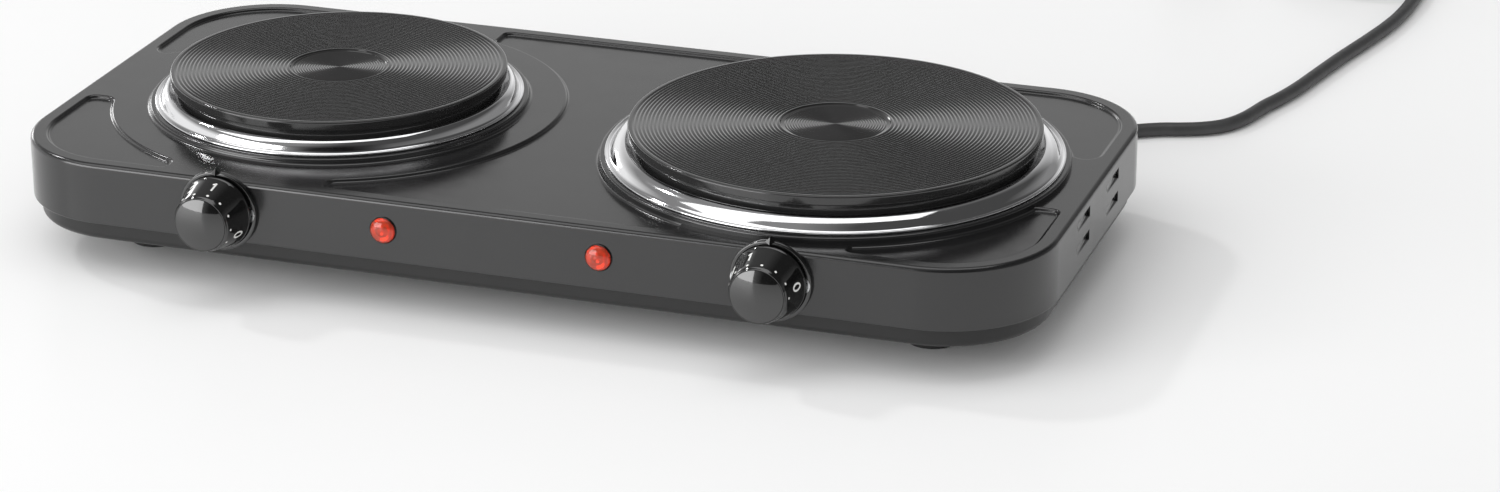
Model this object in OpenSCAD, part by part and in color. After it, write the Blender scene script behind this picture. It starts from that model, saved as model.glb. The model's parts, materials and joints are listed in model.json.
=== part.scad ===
// Free-standing double hot plate: two cast-iron plates on a pressed steel housing,
// each with its own thermostat knob and lamp. Millimetres, +Z up, front towards -Y.
// Origin: on the standing surface, under the middle of the housing and its knobs.

/* [Housing] */
// Overall width of the housing
body_w = 480; // [460:5:600]
// Front-to-back depth of the housing, without the knobs
body_d = 235; // [225:5:300]
// Radius of the housing's upright corners
body_r = 50; // [30:1:60]
// Height of the housing's side wall
body_h = 28.5; // [28:0.5:40]
// Thickness of the sheet steel
sheet_t = 1; // [0.8:0.1:1.2]
// Depth of the panels pressed into the top
panel_depth = 1.6; // [1:0.1:2]
// Distance from the housing's edge to the pressed panels
panel_margin = 8; // [6:1:14]
// Clear width between a plate and the pressed panels, measured from the collar
panel_gap = 17.5; // [12:0.5:24]

/* [Base] */
// Visible height of the base pan under the housing
base_h = 9; // [7:0.5:14]
// How far the base pan stands inside the housing's outline
base_inset = 3.5; // [2.5:0.5:6]
// Height of the rubber feet
foot_h = 16; // [12:0.1:24]
// Radius of a rubber foot
foot_r = 12; // [9:0.5:15]
// Distance of the feet from the housing's ends
foot_inset_x = 55; // [50:1:80]
// Distance of the feet from the housing's front and back
foot_inset_y = 49.5; // [42:0.5:60]

/* [Plates] */
// Distance of each plate's centre from the middle
plate_x = 120; // [118:1:130]
// How far the plates' centres stand in front of the housing's middle
plate_forward = 3; // [0:1:5]
// Radius of the left plate
left_plate_r = 77.5; // [60:0.5:93]
// Radius of the right plate
right_plate_r = 92.5; // [75:0.5:94]
// Height of the cooking surface above the housing's top
plate_rise = 16.5; // [14:0.5:20]
// Radius of the left plate's centre recess
left_recess_r = 22.5; // [15:0.5:26]
// Radius of the right plate's centre recess
right_recess_r = 24.5; // [15:0.5:28]
// How far the left trim ring reaches beyond its plate
left_ring_w = 7.5; // [6:0.1:12]
// How far the right trim ring reaches beyond its plate
right_ring_w = 10.4; // [6:0.1:12]
// Height of the raised collar under each trim ring
collar_h = 2.7; // [2:0.1:4]

/* [Controls] */
// Distance of each knob's axis from the middle
knob_x = 128; // [110:1:135]
// Height of the knob and lamp axes below the housing's top
knob_drop = 13.7; // [13.5:0.1:16]
// Radius of the knob's skirt
knob_r = 16.5; // [14:0.5:20]
// Radius of the knob's grip at its face
knob_face_r = 12.6; // [10:0.1:13]
// How far the knob's face stands off the front wall
knob_reach = 22.5; // [18:0.5:28]
// Radius of the bezel behind each knob
bezel_r = 18.3; // [15:0.1:22]
// Thickness of the bezel
bezel_t = 2.5; // [2:0.1:4]
// Radius of the thermostat shafts
shaft_r = 3; // [2.5:0.1:3.6]
// Distance of each lamp from the middle
lamp_x = 50; // [35:1:60]
// Radius of the lamp lenses
lamp_r = 6.2; // [5:0.1:8]

/* [Vents] */
// Length of a vent slot
vent_l = 22; // [16:0.5:30]
// Height of a vent slot
vent_h = 3.6; // [2:0.1:5]
// Height between the two rows of slots
vent_pitch = 10.7; // [8:0.1:12]
// Distance of each column of slots from the housing's middle
vent_y = 26; // [18:1:40]

/* [Cord] */
// Diameter of the mains cord
cord_d = 6.8; // [5.5:0.1:8.2]
// Distance of the cord's outlet from the middle
cord_x = 150; // [145:1:155]
// Height of the cord's outlet above the housing's lower edge
cord_rise = 11; // [11:0.5:14]
// Length of the strain relief outside the housing
relief_l = 29.25; // [20:0.25:60]

/* [Hidden] */

$fn = 96;
eps = 0.01;
FRONT = [0, -1, 0];
BACK = [0, 1, 0];
LEFT = [-1, 0, 0];
UP = [0, 0, 1];
clear = 0.05; // radial running clearance of a shaft in its bush
screw_gap = 0.2; // radial room of a screw in a through hole
m3 = 1.5;
m4 = 2;
m6 = 3;

// Heights
base_z = foot_h;
seam_z = base_z + base_h;
top_z = seam_z + body_h;
plate_z = top_z + plate_rise;
collar_z = top_z + collar_h;
knob_z = top_z - knob_drop;
cord_z = seam_z + cord_rise;
vent_z = top_z - 8; // middle of the upper row of slots
floor_z = base_z + sheet_t; // inner floor of the pan
pan_top_z = seam_z + 2.5;
pan_edge_r = 3; // radius of the pan's lower edge

// Places front to back: the whole, with its knobs, is centred on y = 0
body_y = knob_reach / 2;
front_y = body_y - body_d / 2;
back_y = body_y + body_d / 2;
inner_front_y = front_y + sheet_t;
plate_y = body_y - plate_forward;

// Feet, from the housing's middle
foot_x = body_w / 2 - foot_inset_x;
foot_y = body_d / 2 - foot_inset_y;

// Pressed panels
panel_corner_r = body_r - panel_margin;
panel_side_gap = 32; // half-width of the plain bands beside the plates
panel_front_gap = 38; // half-width of the plain bands in front of and behind the plates
collar_edge = 2.5; // from the trim ring's edge to the collar's
left_ring_r = left_plate_r + left_ring_w;
right_ring_r = right_plate_r + right_ring_w;
left_collar_r = left_ring_r + collar_edge;
right_collar_r = right_ring_r + collar_edge;
left_panel_r = left_collar_r + panel_gap;
right_panel_r = right_collar_r + 0.1;

// Plates
plate_edge_h = 4.4;
plate_step = 2; // the skirt stands this far inside the plate's rim
skirt_t = 5;
skirt_z = collar_z + 0.8; // underside of the cast skirt
cavity_z = plate_z - 6;
boss_r = 14;
cover_t = 1;
ring_t = 0.8;
ring_lip = 6; // width of the ring's seat on the collar
ring_inner_z = collar_z + 5.9;
recess_depth = 1;
bar_w = 20;
bar_t = 2.5;
bar_top_z = collar_z - sheet_t;
nut_h = 5;

// Controls
thermostat_screw_x = bezel_r - 4.3;
thermostat_w = 2 * thermostat_screw_x + 10;
thermostat_d = 22;
thermostat_h = 23;
thermostat_back_y = inner_front_y + thermostat_d;
blade_l = 8;
blade_x = 10;
shaft_flat = shaft_r * 0.55;
knob_gap = 0.8;
knob_back_y = front_y - bezel_t - knob_gap;
knob_face_y = front_y - knob_reach;
knob_wall = 1.6;
hub_r = shaft_r + 3.4;
spring_t = 0.6;
spring_w = 2 * sqrt(pow(shaft_r, 2) - pow(shaft_flat + spring_t, 2)) - 0.15;
lamp_stem_r = 4.5;
lamp_l = 20;
lamp_back_y = inner_front_y + lamp_l + 5;

// Inside the housing
terminal_x = -7; // live pin of a plate's terminals, from the plate's centre
terminal_y = plate_y - 40.25;
terminal_z = skirt_z - cover_t; // the terminals hang from the cover plate
pin_l = 8;
block_y = 72;
block_w = 30;
block_d = 18;
block_h = 14;
block_wire_z = floor_z + 7;
saddle_y = 104;
saddle_d = 10;
saddle_w = 30;
clamp_screw_x = 10;
cord_end_y = saddle_y - saddle_d / 2 - 1;
earth_x = cord_x + 10;
earth_y = 0;
wire_r = 1.4;
conductor_r = 1.2;
lead_r = 0.9;
bracket_w = 16;
bracket_t = 1.2;
bracket_x = foot_x - 10;

// Cord: round points by hand from the strain relief to the coil, then turns by rule
cord_r = cord_d / 2;
hole_r = 7.5;
relief_tip_y = back_y + relief_l;
lie_z = cord_r + 0.2; // the cord's axis where it lies on the surface
cord_points = [
  [cord_x, relief_tip_y, cord_z], [150.5, 166, 34.5], [152.5, 176, 29.5], [157.5, 186, 21.5],
  [166, 194, 13.5], [177, 199.5, 7.5], [189, 203.5, 4.4], [200, 209, lie_z], [210, 216, lie_z],
  [220, 221.5, lie_z], [230, 225, lie_z], [239, 229, lie_z], [247.5, 235.5, lie_z],
  [253.5, 245, lie_z], [257.5, 256, lie_z], [261, 269, lie_z], [266, 283, lie_z],
  [271, 300, lie_z], [276.5, 325, lie_z], [283, 354, lie_z], [289.5, 380, lie_z],
  [295.5, 406, lie_z], [299.5, 430, lie_z], [301.5, 455, 3.7], [302, 480, 4], [302, 505, 4.2]
];
coil_c = [261, 505];
coil_low_z = 0.8; // the tie passes under the coil
coil_mid_r = 37.6;
coil_row_h = cord_d * 0.87; // height from one layer of turns to the next
coil_top_z = coil_low_z + cord_d + coil_row_h;
tail_points = [
  [261, 546, 11], [248, 545.4, 11.6], [234, 543.4, 14.5], [222, 541.4, 17.8], [210, 541, 18.5]
];
plug_axis = [541, 18.5]; // y and z of the plug's axis, which lies along X
plug_back_x = 210;
plug_l = 58;
plug_face_x = plug_back_x - plug_l;
plug_r = 18.3;
pin_spacing = 19;
plug_pin_r = 2.4;
plug_pin_l = 19;
pin_root_r = 2; // the pins' roots, held in the plug
pin_root_l = 6;

// ---------------------------------------------------------------- helpers

// Flat outline with four round corners
module rounded_rect(w, d, r) {
  square([w - 2 * r, d], center = true);
  square([w, d - 2 * r], center = true);
  for (x = [-1, 1], y = [-1, 1])
    translate([x * (w / 2 - r), y * (d / 2 - r)]) circle(r);
}

// Upright slab with the housing's outline, drawn in by `inset`
module body_slab(inset, z0, z1) {
  translate([0, body_y, z0]) linear_extrude(z1 - z0)
    rounded_rect(body_w - 2 * inset, body_d - 2 * inset, body_r - inset);
}

// Cylinder from one height to another
module post(r, z0, z1, at = [0, 0]) {
  translate([at[0], at[1], z0]) cylinder(r = r, h = z1 - z0);
}

// Cylinder along Y, between two places
module rod_y(r, y0, y1, at = [0, 0]) {
  translate([at[0], y1, at[1]]) rotate([90, 0, 0]) cylinder(r = r, h = y1 - y0);
}

// Body of revolution about Y: profile x is the radius, profile y runs from `y0` to the front
module turned_y(y0, at = [0, 0]) {
  translate([at[0], y0, at[1]]) rotate([90, 0, 0]) rotate_extrude() children();
}

// Cheese-head screw pointing up: the head hangs below `z0`, the shank rises to `z1`
module screw_up(r, z0, z1, head_h = 2.2) {
  post(r, z0, z1);
  translate([0, 0, z0 - head_h]) difference() {
    cylinder(r = r * 1.9, h = head_h);
    translate([0, 0, head_h * 0.2]) cube([r * 2.6, r * 0.4, head_h * 0.5], center = true);
  }
}

// Runs its children at each of four places around the housing's middle
module at_four(x, y) {
  for (sx = [-1, 1], sy = [-1, 1])
    translate([sx * x, body_y + sy * y, 0]) children();
}

// Catmull-Rom point at t between p[1] and p[2]
function cr_point(p, t) = 0.5 * (2 * p[1] + (p[2] - p[0]) * t
  + (2 * p[0] - 5 * p[1] + 4 * p[2] - p[3]) * t * t
  + (3 * p[1] - p[0] - 3 * p[2] + p[3]) * t * t * t);

// Smooth line through points, `n` steps to each stretch
function smooth(pts, n) = let (
    last = len(pts) - 1,
    q = concat([2 * pts[0] - pts[1]], pts, [2 * pts[last] - pts[last - 1]])
  ) concat(
    [for (i = [0:last - 1], k = [0:n - 1]) cr_point([for (j = [0:3]) q[i + j]], k / n)],
    [pts[last]]
  );

function unit(v) = v / norm(v);

// Direction of the line at point i
function heading(l, i) = unit(l[min(i + 1, len(l) - 1)] - l[max(i - 1, 0)]);

// Side directions that turn as little as possible from one heading to the next
function sides(ways, i = 0, prev = [0, 0, 1], out = []) = i == len(ways) ? out :
  let (s = unit(prev - (prev * ways[i]) * ways[i])) sides(ways, i + 1, s, concat(out, [s]));

// Round tube along a line of points, one closed polyhedron. `first` and `last` are the
// headings of its two flat ends, where they differ from the line's own
module tube(pts, r, n = 1, facets = 10, first = undef, last = undef) {
  line = smooth(pts, n);
  rings = len(line);
  ways = [for (i = [0:rings - 1])
    i == 0 && !is_undef(first) ? first :
    i == rings - 1 && !is_undef(last) ? last : heading(line, i)];
  side = sides(ways, 0, abs(ways[0][2]) > 0.9 ? [1, 0, 0] : [0, 0, 1]);
  points = [for (i = [0:rings - 1], k = [0:facets - 1])
    let (a = 360 * k / facets, u = side[i], v = cross(ways[i], u))
    line[i] + r * (cos(a) * u + sin(a) * v)];
  walls = [for (i = [0:rings - 2], k = [0:facets - 1])
    let (a = i * facets + k, b = i * facets + (k + 1) % facets)
    [a, a + facets, b + facets, b]];
  ends = [[for (k = [0:facets - 1]) k],
    [for (k = [facets - 1:-1:0]) (rings - 1) * facets + k]];
  polyhedron(points, concat(walls, ends));
}

// ---------------------------------------------------------------- housing

// Outline of the panels pressed into the top, spread by `grow`
module panels(grow = 0) {
  difference() {
    translate([0, body_y]) rounded_rect(body_w - 2 * (panel_margin - grow),
      body_d - 2 * (panel_margin - grow), panel_corner_r + grow);
    for (s = [-1, 1]) {
      translate([s * plate_x, plate_y])
        circle((s < 0 ? left_panel_r : right_panel_r) - grow);
      translate([s * plate_x - (panel_front_gap - grow), body_y - body_d])
        square([2 * (panel_front_gap - grow), 2 * body_d]);
      translate([s < 0 ? -body_w : plate_x, plate_y - panel_side_gap + grow])
        square([body_w - plate_x, 2 * (panel_side_gap - grow)]);
    }
  }
}

module vent_slots() {
  for (s = [-1, 1], c = [-1, 1], row = [0, 1])
    translate([s * body_w / 2, body_y + c * vent_y, vent_z - row * vent_pitch])
      cube([4 * sheet_t, vent_l, vent_h], center = true);
}

module top_housing() {
  color("#3c3c3e") difference() {
    union() {
      body_slab(0, seam_z, top_z);
      post(left_collar_r, top_z - eps, collar_z, [-plate_x, plate_y]);
      post(right_collar_r, top_z - eps, collar_z, [plate_x, plate_y]);
    }
    // the hollow, left full under the pressed panels
    difference() {
      body_slab(sheet_t, seam_z - 1, top_z - sheet_t);
      translate([0, 0, top_z - panel_depth - sheet_t]) linear_extrude(10) panels(sheet_t);
    }
    translate([0, 0, top_z - panel_depth]) linear_extrude(10) panels();
    // hollow collars and plate openings
    for (p = [[-plate_x, left_collar_r, left_ring_r], [plate_x, right_collar_r, right_ring_r]]) {
      post(p[1] - sheet_t, top_z - 2 * sheet_t, collar_z - sheet_t, [p[0], plate_y]);
      post(p[2] - ring_lip, top_z - 2 * sheet_t, collar_z + 1, [p[0], plate_y]);
    }
    for (s = [-1, 1]) {
      rod_y(shaft_r + 1, front_y - 1, inner_front_y + 1, [s * knob_x, knob_z]);
      rod_y(lamp_stem_r + 0.1, front_y - 1, inner_front_y + 1, [s * lamp_x, knob_z]);
      for (c = [-1, 1])
        rod_y(m4 + screw_gap, front_y - 1, inner_front_y + 1,
          [s * knob_x + c * thermostat_screw_x, knob_z]);
    }
    rod_y(hole_r, back_y - sheet_t - 1, back_y + 1, [cord_x, cord_z]);
    vent_slots();
  }
}

// Four brackets, spot-welded inside the front and back walls, that take the base screws
module mounting_brackets() {
  color("#8d9092") for (sx = [-1, 1], sy = [-1, 1])
    translate([sx * bracket_x, body_y, 0]) mirror([0, sy > 0 ? 1 : 0, 0]) difference() {
      translate([-bracket_w / 2, -(body_d / 2 - sheet_t), 0]) rotate([90, 0, 90])
        linear_extrude(bracket_w) bracket_outline();
      post(m4, floor_z - 1, floor_z + 4, [0, -bracket_screw_y()]);
    }
}

// Screw's distance from the housing's middle, front or back
function bracket_screw_y() = body_d / 2 - sheet_t - base_inset - 14;

module bracket_outline() {
  step_z = pan_top_z + 5;
  wall_top_z = top_z - 5;
  leg_y = base_inset + pan_edge_r - sheet_t + 0.3; // just inside the pan's round edge
  foot_l = 20;
  square_at([0, step_z], [bracket_t, wall_top_z - step_z]);
  square_at([0, step_z], [leg_y + bracket_t, bracket_t]);
  square_at([leg_y, floor_z], [bracket_t, step_z - floor_z + bracket_t]);
  square_at([leg_y, floor_z], [foot_l, bracket_t]);
}

module square_at(p, size) {
  translate(p) square(size);
}

module base_pan() {
  steps = 4; // of the quarter circle that rounds the lower edge
  color("#2f2f31") difference() {
    union() {
      body_slab(base_inset, base_z + pan_edge_r, pan_top_z);
      for (i = [0:steps - 1])
        body_slab(base_inset + pan_edge_r * (1 - sin(90 * (i + 0.5) / steps)),
          base_z + pan_edge_r * (1 - cos(90 * i / steps)),
          base_z + pan_edge_r * (1 - cos(90 * (i + 1) / steps)) + eps);
    }
    body_slab(base_inset + pan_edge_r, floor_z, base_z + pan_edge_r);
    body_slab(base_inset + sheet_t, base_z + pan_edge_r - eps, pan_top_z + 1);
    at_four(foot_x, foot_y) post(m4 + screw_gap, base_z - 1, floor_z + 1);
    at_four(bracket_x, bracket_screw_y()) post(m4 + screw_gap, base_z - 1, floor_z + 1);
    for (s = [-1, 1]) {
      post(m3, base_z - 1, floor_z + 1, [cord_x + s * (block_w / 2 + 3), block_y]);
      post(m3 + screw_gap, base_z - 1, floor_z + 1, [cord_x + s * clamp_screw_x, saddle_y]);
    }
    post(m4, base_z - 1, floor_z + 1, [earth_x, earth_y]);
  }
}

module rubber_feet() {
  bore_z = foot_h - 6;
  color("#1b1b1c") at_four(foot_x, foot_y) rotate_extrude() difference() {
    union() {
      square([foot_r - 1.5, foot_h]);
      translate([0, 1.5]) square([foot_r, 6]);
      translate([foot_r - 1.5, 1.5]) circle(1.5);
    }
    square([4.6, bore_z]);
    square([m4 + screw_gap, foot_h]);
  }
}

module foot_screws() {
  color("silver") at_four(foot_x, foot_y) screw_up(m4, foot_h - 6, floor_z + 5);
}

module foot_nuts() {
  color("silver") at_four(foot_x, foot_y) difference() {
    post(4, floor_z, floor_z + 3.2, $fn = 6);
    post(m4, floor_z - 1, floor_z + 4);
  }
}

module base_screws() {
  color("silver") at_four(bracket_x, bracket_screw_y()) screw_up(m4, base_z, floor_z + 5);
}

// ---------------------------------------------------------------- plates

// Cast-iron plate: grooved disc with a skirt below and a boss for its stud
module hotplate(x, r, recess_r) {
  skirt_r = r - plate_step;
  groove_pitch = 5;
  color("#7a7876") translate([x, plate_y, 0]) rotate_extrude() difference() {
    union() {
      square_at([0, plate_z - plate_edge_h], [r, plate_edge_h - 0.7]);
      square_at([0, plate_z - plate_edge_h], [r - 0.7, plate_edge_h]);
      square_at([0, skirt_z], [skirt_r, plate_z - plate_edge_h - skirt_z]);
    }
    square_at([boss_r, skirt_z - 1], [skirt_r - skirt_t - boss_r, cavity_z - skirt_z + 1]);
    square_at([0, skirt_z - 1], [m6, cavity_z - skirt_z]);
    square_at([0, plate_z - recess_depth], [recess_r, 2]);
    for (g = [recess_r + groove_pitch:groove_pitch:r - groove_pitch])
      square_at([g, plate_z - 0.4], [0.8, 1]);
  }
}

// Bright ring that closes the gap between a plate's skirt and the housing's collar
module trim_ring(x, r, plate_r) {
  skirt_r = plate_r - plate_step;
  crown_r = plate_r + 1.2;
  color("#d8dadc") translate([x, plate_y, 0]) rotate_extrude() polygon([
    [r, collar_z], [r, collar_z + 0.5], [r - 0.8, collar_z + ring_t],
    [crown_r, ring_inner_z], [skirt_r, ring_inner_z], [skirt_r, ring_inner_z - ring_t],
    [crown_r - 0.4, ring_inner_z - ring_t], [r - 1.4, collar_z]
  ]);
}

// Resistance wire in its ring of pressed ceramic
module heating_coil(x, r) {
  gap = 2;
  inner = boss_r + gap;
  outer = r - plate_step - skirt_t - gap;
  color("#d9cdb8") translate([x, plate_y, skirt_z]) rotate_extrude()
    square_at([inner, 0], [outer - inner, cavity_z - skirt_z]);
}

module cover_plate(x, r) {
  color("#a9abad") translate([x, plate_y, skirt_z - cover_t]) difference() {
    cylinder(r = r - plate_step, h = cover_t);
    translate([0, 0, -1]) cylinder(r = m6 + screw_gap, h = cover_t + 2);
  }
}

module plate_studs() {
  color("silver") for (s = [-1, 1])
    post(m6, bar_top_z - bar_t - nut_h - 5, cavity_z - 1, [s * plate_x, plate_y]);
}

module stud_nuts() {
  z0 = bar_top_z - bar_t - nut_h;
  color("silver") for (s = [-1, 1]) difference() {
    post(5.77, z0, z0 + nut_h, [s * plate_x, plate_y], $fn = 6);
    post(m6, z0 - 1, z0 + nut_h + 1, [s * plate_x, plate_y]);
  }
}

// Bar across the opening: the stud's nut draws it up against the underside of the collar
module clamp_bar(x, collar_r) {
  half_l = collar_r - sheet_t - 1.5;
  color("#9a9da0") difference() {
    translate([x - half_l, plate_y - bar_w / 2, bar_top_z - bar_t])
      cube([2 * half_l, bar_w, bar_t]);
    post(m6 + screw_gap, bar_top_z - bar_t - 1, bar_top_z + 1, [x, plate_y]);
  }
}

// Ceramic block with a live and a neutral pin, under the cover plate
module plate_terminals(x) {
  block = [26, 10, 8];
  color("#e6e0d4") translate([x - block[0] / 2, terminal_y - block[1] / 2, terminal_z - block[2]])
    cube(block);
  color("#c9a23a") for (s = [-1, 1])
    post(1.5, terminal_z - block[2] - pin_l, terminal_z - block[2] + eps,
      [x + s * terminal_x, terminal_y]);
}

// ---------------------------------------------------------------- controls

module thermostat(x) {
  z0 = knob_z - thermostat_h / 2;
  color("#d8cfc0") difference() {
    translate([x - thermostat_w / 2, inner_front_y, z0])
      cube([thermostat_w, thermostat_d, thermostat_h]);
    rod_y(shaft_r + clear, inner_front_y - 1, inner_front_y + 16, [x, knob_z]);
    for (c = [-1, 1])
      rod_y(m4, inner_front_y - 1, inner_front_y + 8, [x + c * thermostat_screw_x, knob_z]);
  }
  color("#c9a23a") for (c = [-1, 1])
    translate([x + c * blade_x - 0.4, thermostat_back_y - eps, knob_z - 3])
      cube([0.8, blade_l + eps, 6.3]);
}

module thermostat_screws() {
  head_h = 1.5;
  color("silver") for (s = [-1, 1], c = [-1, 1]) {
    at = [s * knob_x + c * thermostat_screw_x, knob_z];
    rod_y(m4, front_y - bezel_t + head_h, inner_front_y + 7, at);
    rod_y(m4 * 1.9, front_y - bezel_t, front_y - bezel_t + head_h, at);
  }
}

module bezel(x) {
  color("#121213") difference() {
    turned_y(front_y, [x, knob_z]) union() {
      square([bezel_r, bezel_t - 0.8]);
      square([bezel_r - 0.8, bezel_t]);
    }
    rod_y(shaft_r + 1, front_y - bezel_t - 1, front_y + 1, [x, knob_z]);
    for (c = [-1, 1]) {
      at = [x + c * thermostat_screw_x, knob_z];
      rod_y(m4 + screw_gap, front_y - bezel_t - 1, front_y + 1, at);
      rod_y(m4 * 1.9 + 0.2, front_y - bezel_t - 1, front_y - bezel_t + 1.5, at);
    }
  }
}

// Outline across a shaft with one flat, `r` round and `flat` from the axis to the flat
module d_outline(r, flat) {
  intersection() {
    circle(r);
    translate([-r, -r]) square([2 * r, r + flat]);
  }
}

module shaft(x) {
  color("#b9bcbf") translate([x, inner_front_y + 15, knob_z]) rotate([90, 0, 0]) {
    cylinder(r = shaft_r, h = 15 + sheet_t + bezel_t + 1);
    linear_extrude(15 + sheet_t + knob_reach - knob_wall - 1.5) d_outline(shaft_r, shaft_flat);
  }
}

// Leaf spring between the shaft's flat and the knob's bore
module knob_spring(x) {
  hub_back_y = knob_back_y - 3;
  length = hub_back_y - (knob_face_y + 6);
  color("#9fa3a6") translate([x - spring_w / 2, hub_back_y - length, knob_z + shaft_flat])
    cube([spring_w, length, spring_t]);
}

// Hollow knob: a conical skirt, a fluted grip and a hub with a flatted bore
module knob(x) {
  back = -knob_back_y;
  face = -knob_face_y;
  skirt_end = back + 1.5;
  grip_start = back + 7;
  flutes = 16;
  flute_r = 1.2;
  color("#0e0e0f") difference() {
    translate([x, 0, knob_z]) rotate([90, 0, 0]) rotate_extrude() polygon([
        [0, back + 3], [hub_r, back + 3], [hub_r, face - knob_wall - 2],
        [knob_face_r - knob_wall, face - knob_wall - 2],
        [knob_face_r - knob_wall + 0.4, grip_start], [knob_r - knob_wall, back],
        [knob_r, back], [knob_r, skirt_end], [knob_face_r + 0.8, grip_start],
        [knob_face_r, face - 0.8], [knob_face_r - 0.8, face], [0, face]
    ]);
    for (i = [0:flutes - 1])
      translate([x, 0, knob_z]) rotate([0, 360 * (i + 0.5) / flutes, 0])
        rod_y(flute_r, knob_face_y - 1, -grip_start - 2, [knob_face_r + 0.6 * flute_r, 0]);
    translate([x, 1 - back, knob_z]) rotate([90, 0, 0])
      linear_extrude(face - back - knob_wall) d_outline(shaft_r, shaft_flat + spring_t);
  }
}

module lamp_lens(x) {
  dome_h = 3.5;
  color("#d9401f") turned_y(front_y, [x, knob_z]) difference() {
    union() {
      square([lamp_r, 0.9]);
      translate([0, 0.9]) intersection() {
        translate([0, dome_h - 0.9 - dome_ball()]) circle(dome_ball());
        square([lamp_r, dome_h]);
      }
      translate([0, -5 - sheet_t]) square([lamp_stem_r, 5 + sheet_t + eps]);
    }
    translate([-2 * lamp_r, -20]) square([2 * lamp_r, 40]);
  }
}

// Radius of the ball that the lens's dome is cut from
function dome_ball() = (lamp_r * lamp_r + 2.6 * 2.6) / (2 * 2.6);

module lamp(x) {
  color("#e8e4da") rod_y(lamp_stem_r, inner_front_y + 5, lamp_back_y, [x, knob_z]);
}

module lamp_clips() {
  color("silver") for (s = [-1, 1]) difference() {
    rod_y(lamp_stem_r + 4, inner_front_y, inner_front_y + 0.8, [s * lamp_x, knob_z]);
    rod_y(lamp_stem_r, inner_front_y - 1, inner_front_y + 2, [s * lamp_x, knob_z]);
  }
}

// Two leads from each lamp to its plate's terminals, in parallel with the heating coil
module lamp_leads() {
  end_y = terminal_y - 5;
  end_z = terminal_z - 5;
  color("#c23b2e") for (s = [-1, 1], k = [0, 1]) {
    start_x = s * (lamp_x + (k == 0 ? 2.2 : -2.2));
    end_x = s * (plate_x - (k == 0 ? 3 : 9));
    lift = 6 * k;
    tube([
      [start_x, lamp_back_y, knob_z], [start_x, lamp_back_y + 8, knob_z + 1],
      [s * (70 - lift), lamp_back_y + 18 + lift, knob_z + 4],
      [s * (94 - lift), end_y - 14 + 1.5 * lift, end_z - 2],
      [end_x, end_y - 8 + 0.7 * lift, end_z],
      [end_x, end_y, end_z]
    ], lead_r, 3, 8, first = BACK, last = BACK);
  }
}

// ---------------------------------------------------------------- inside

module terminal_block() {
  color("#ece6d6") difference() {
    union() {
      translate([cord_x - block_w / 2, block_y - block_d / 2, floor_z])
        cube([block_w, block_d, block_h]);
      for (s = [-1, 1])
        translate([cord_x + s * (block_w / 2 + 3), block_y, floor_z + 1.5])
          cube([7, 10, 3], center = true);
    }
    for (s = [-1, 1])
      post(m3, floor_z - 1, floor_z + 4, [cord_x + s * (block_w / 2 + 3), block_y]);
  }
}

module terminal_block_screws() {
  color("silver") for (s = [-1, 1])
    translate([cord_x + s * (block_w / 2 + 3), block_y, 0]) {
      post(m3, base_z - 1, floor_z + 3);
      post(m3 * 1.8, floor_z + 3, floor_z + 5);
    }
}

// Lower half of the cord clamp, standing on the pan
module cord_saddle() {
  color("#2a2a2b") difference() {
    translate([cord_x - saddle_w / 2, saddle_y - saddle_d / 2, floor_z])
      cube([saddle_w, saddle_d, cord_z - floor_z]);
    rod_y(cord_r, saddle_y - saddle_d, saddle_y + saddle_d, [cord_x, cord_z]);
    for (s = [-1, 1]) {
      at = [cord_x + s * clamp_screw_x, saddle_y];
      post(m3, cord_z - 8, cord_z + 1, at);
      post(m3, floor_z - 1, floor_z + 7, at);
    }
  }
}

module cord_clamp_bar() {
  color("#2a2a2b") difference() {
    translate([cord_x - saddle_w / 2, saddle_y - saddle_d / 2, cord_z])
      cube([saddle_w, saddle_d, cord_r + 3]);
    rod_y(cord_r, saddle_y - saddle_d, saddle_y + saddle_d, [cord_x, cord_z]);
    for (s = [-1, 1])
      post(m3 + screw_gap, cord_z - 1, cord_z + 9, [cord_x + s * clamp_screw_x, saddle_y]);
  }
}

module cord_clamp_screws() {
  top = cord_z + cord_r + 3;
  color("silver") for (s = [-1, 1]) {
    at = [cord_x + s * clamp_screw_x, saddle_y];
    post(m3, cord_z - 7.5, top + eps, at);
    post(m3 * 1.8, top, top + 2, at);
    translate([at[0], at[1], 0]) screw_up(m3, base_z, floor_z + 6);
  }
}

module earth_screw() {
  color("#c9a23a") {
    post(m4, base_z - 1, floor_z + 3, [earth_x, earth_y]);
    post(m4 * 1.9, floor_z + 1, floor_z + 3.4, [earth_x, earth_y]);
  }
}

// Live wires: mains block to each thermostat, and each thermostat to its plate
module live_wires() {
  start_y = block_y - block_d / 2;
  low = floor_z + 2;
  end_y = thermostat_back_y + blade_l;
  pin_z = terminal_z - 8 - pin_l;
  color("#7a4a2a") {
    tube([
      [cord_x - 12, start_y, block_wire_z], [cord_x - 20, start_y - 12, low + 1], [80, 42, low],
      [0, 36, low], [-70, 10, low], [-112, -24, low + 1], [-132, -46, low + 6],
      [-knob_x - blade_x, end_y + 12, knob_z - 7], [-knob_x - blade_x, end_y, knob_z]
    ], wire_r, 3, 8, first = FRONT, last = FRONT);
    tube([
      [cord_x - 7, start_y, block_wire_z], [cord_x - 9, start_y - 18, low + 1], [132, 0, low],
      [135, -46, low + 6], [knob_x + blade_x, end_y + 12, knob_z - 7],
      [knob_x + blade_x, end_y, knob_z]
    ], wire_r, 3, 8, first = FRONT, last = FRONT);
    for (s = [-1, 1])
      tube([
        [s * (knob_x - blade_x), end_y, knob_z], [s * (knob_x - blade_x), end_y + 8, knob_z - 3],
        [s * (plate_x - terminal_x * 0.5), terminal_y - 16, pin_z - 12],
        [s * (plate_x - terminal_x), terminal_y - 3, pin_z - 8],
        [s * (plate_x - terminal_x), terminal_y, pin_z]
      ], wire_r, 3, 8, first = BACK, last = UP);
  }
}

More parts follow.
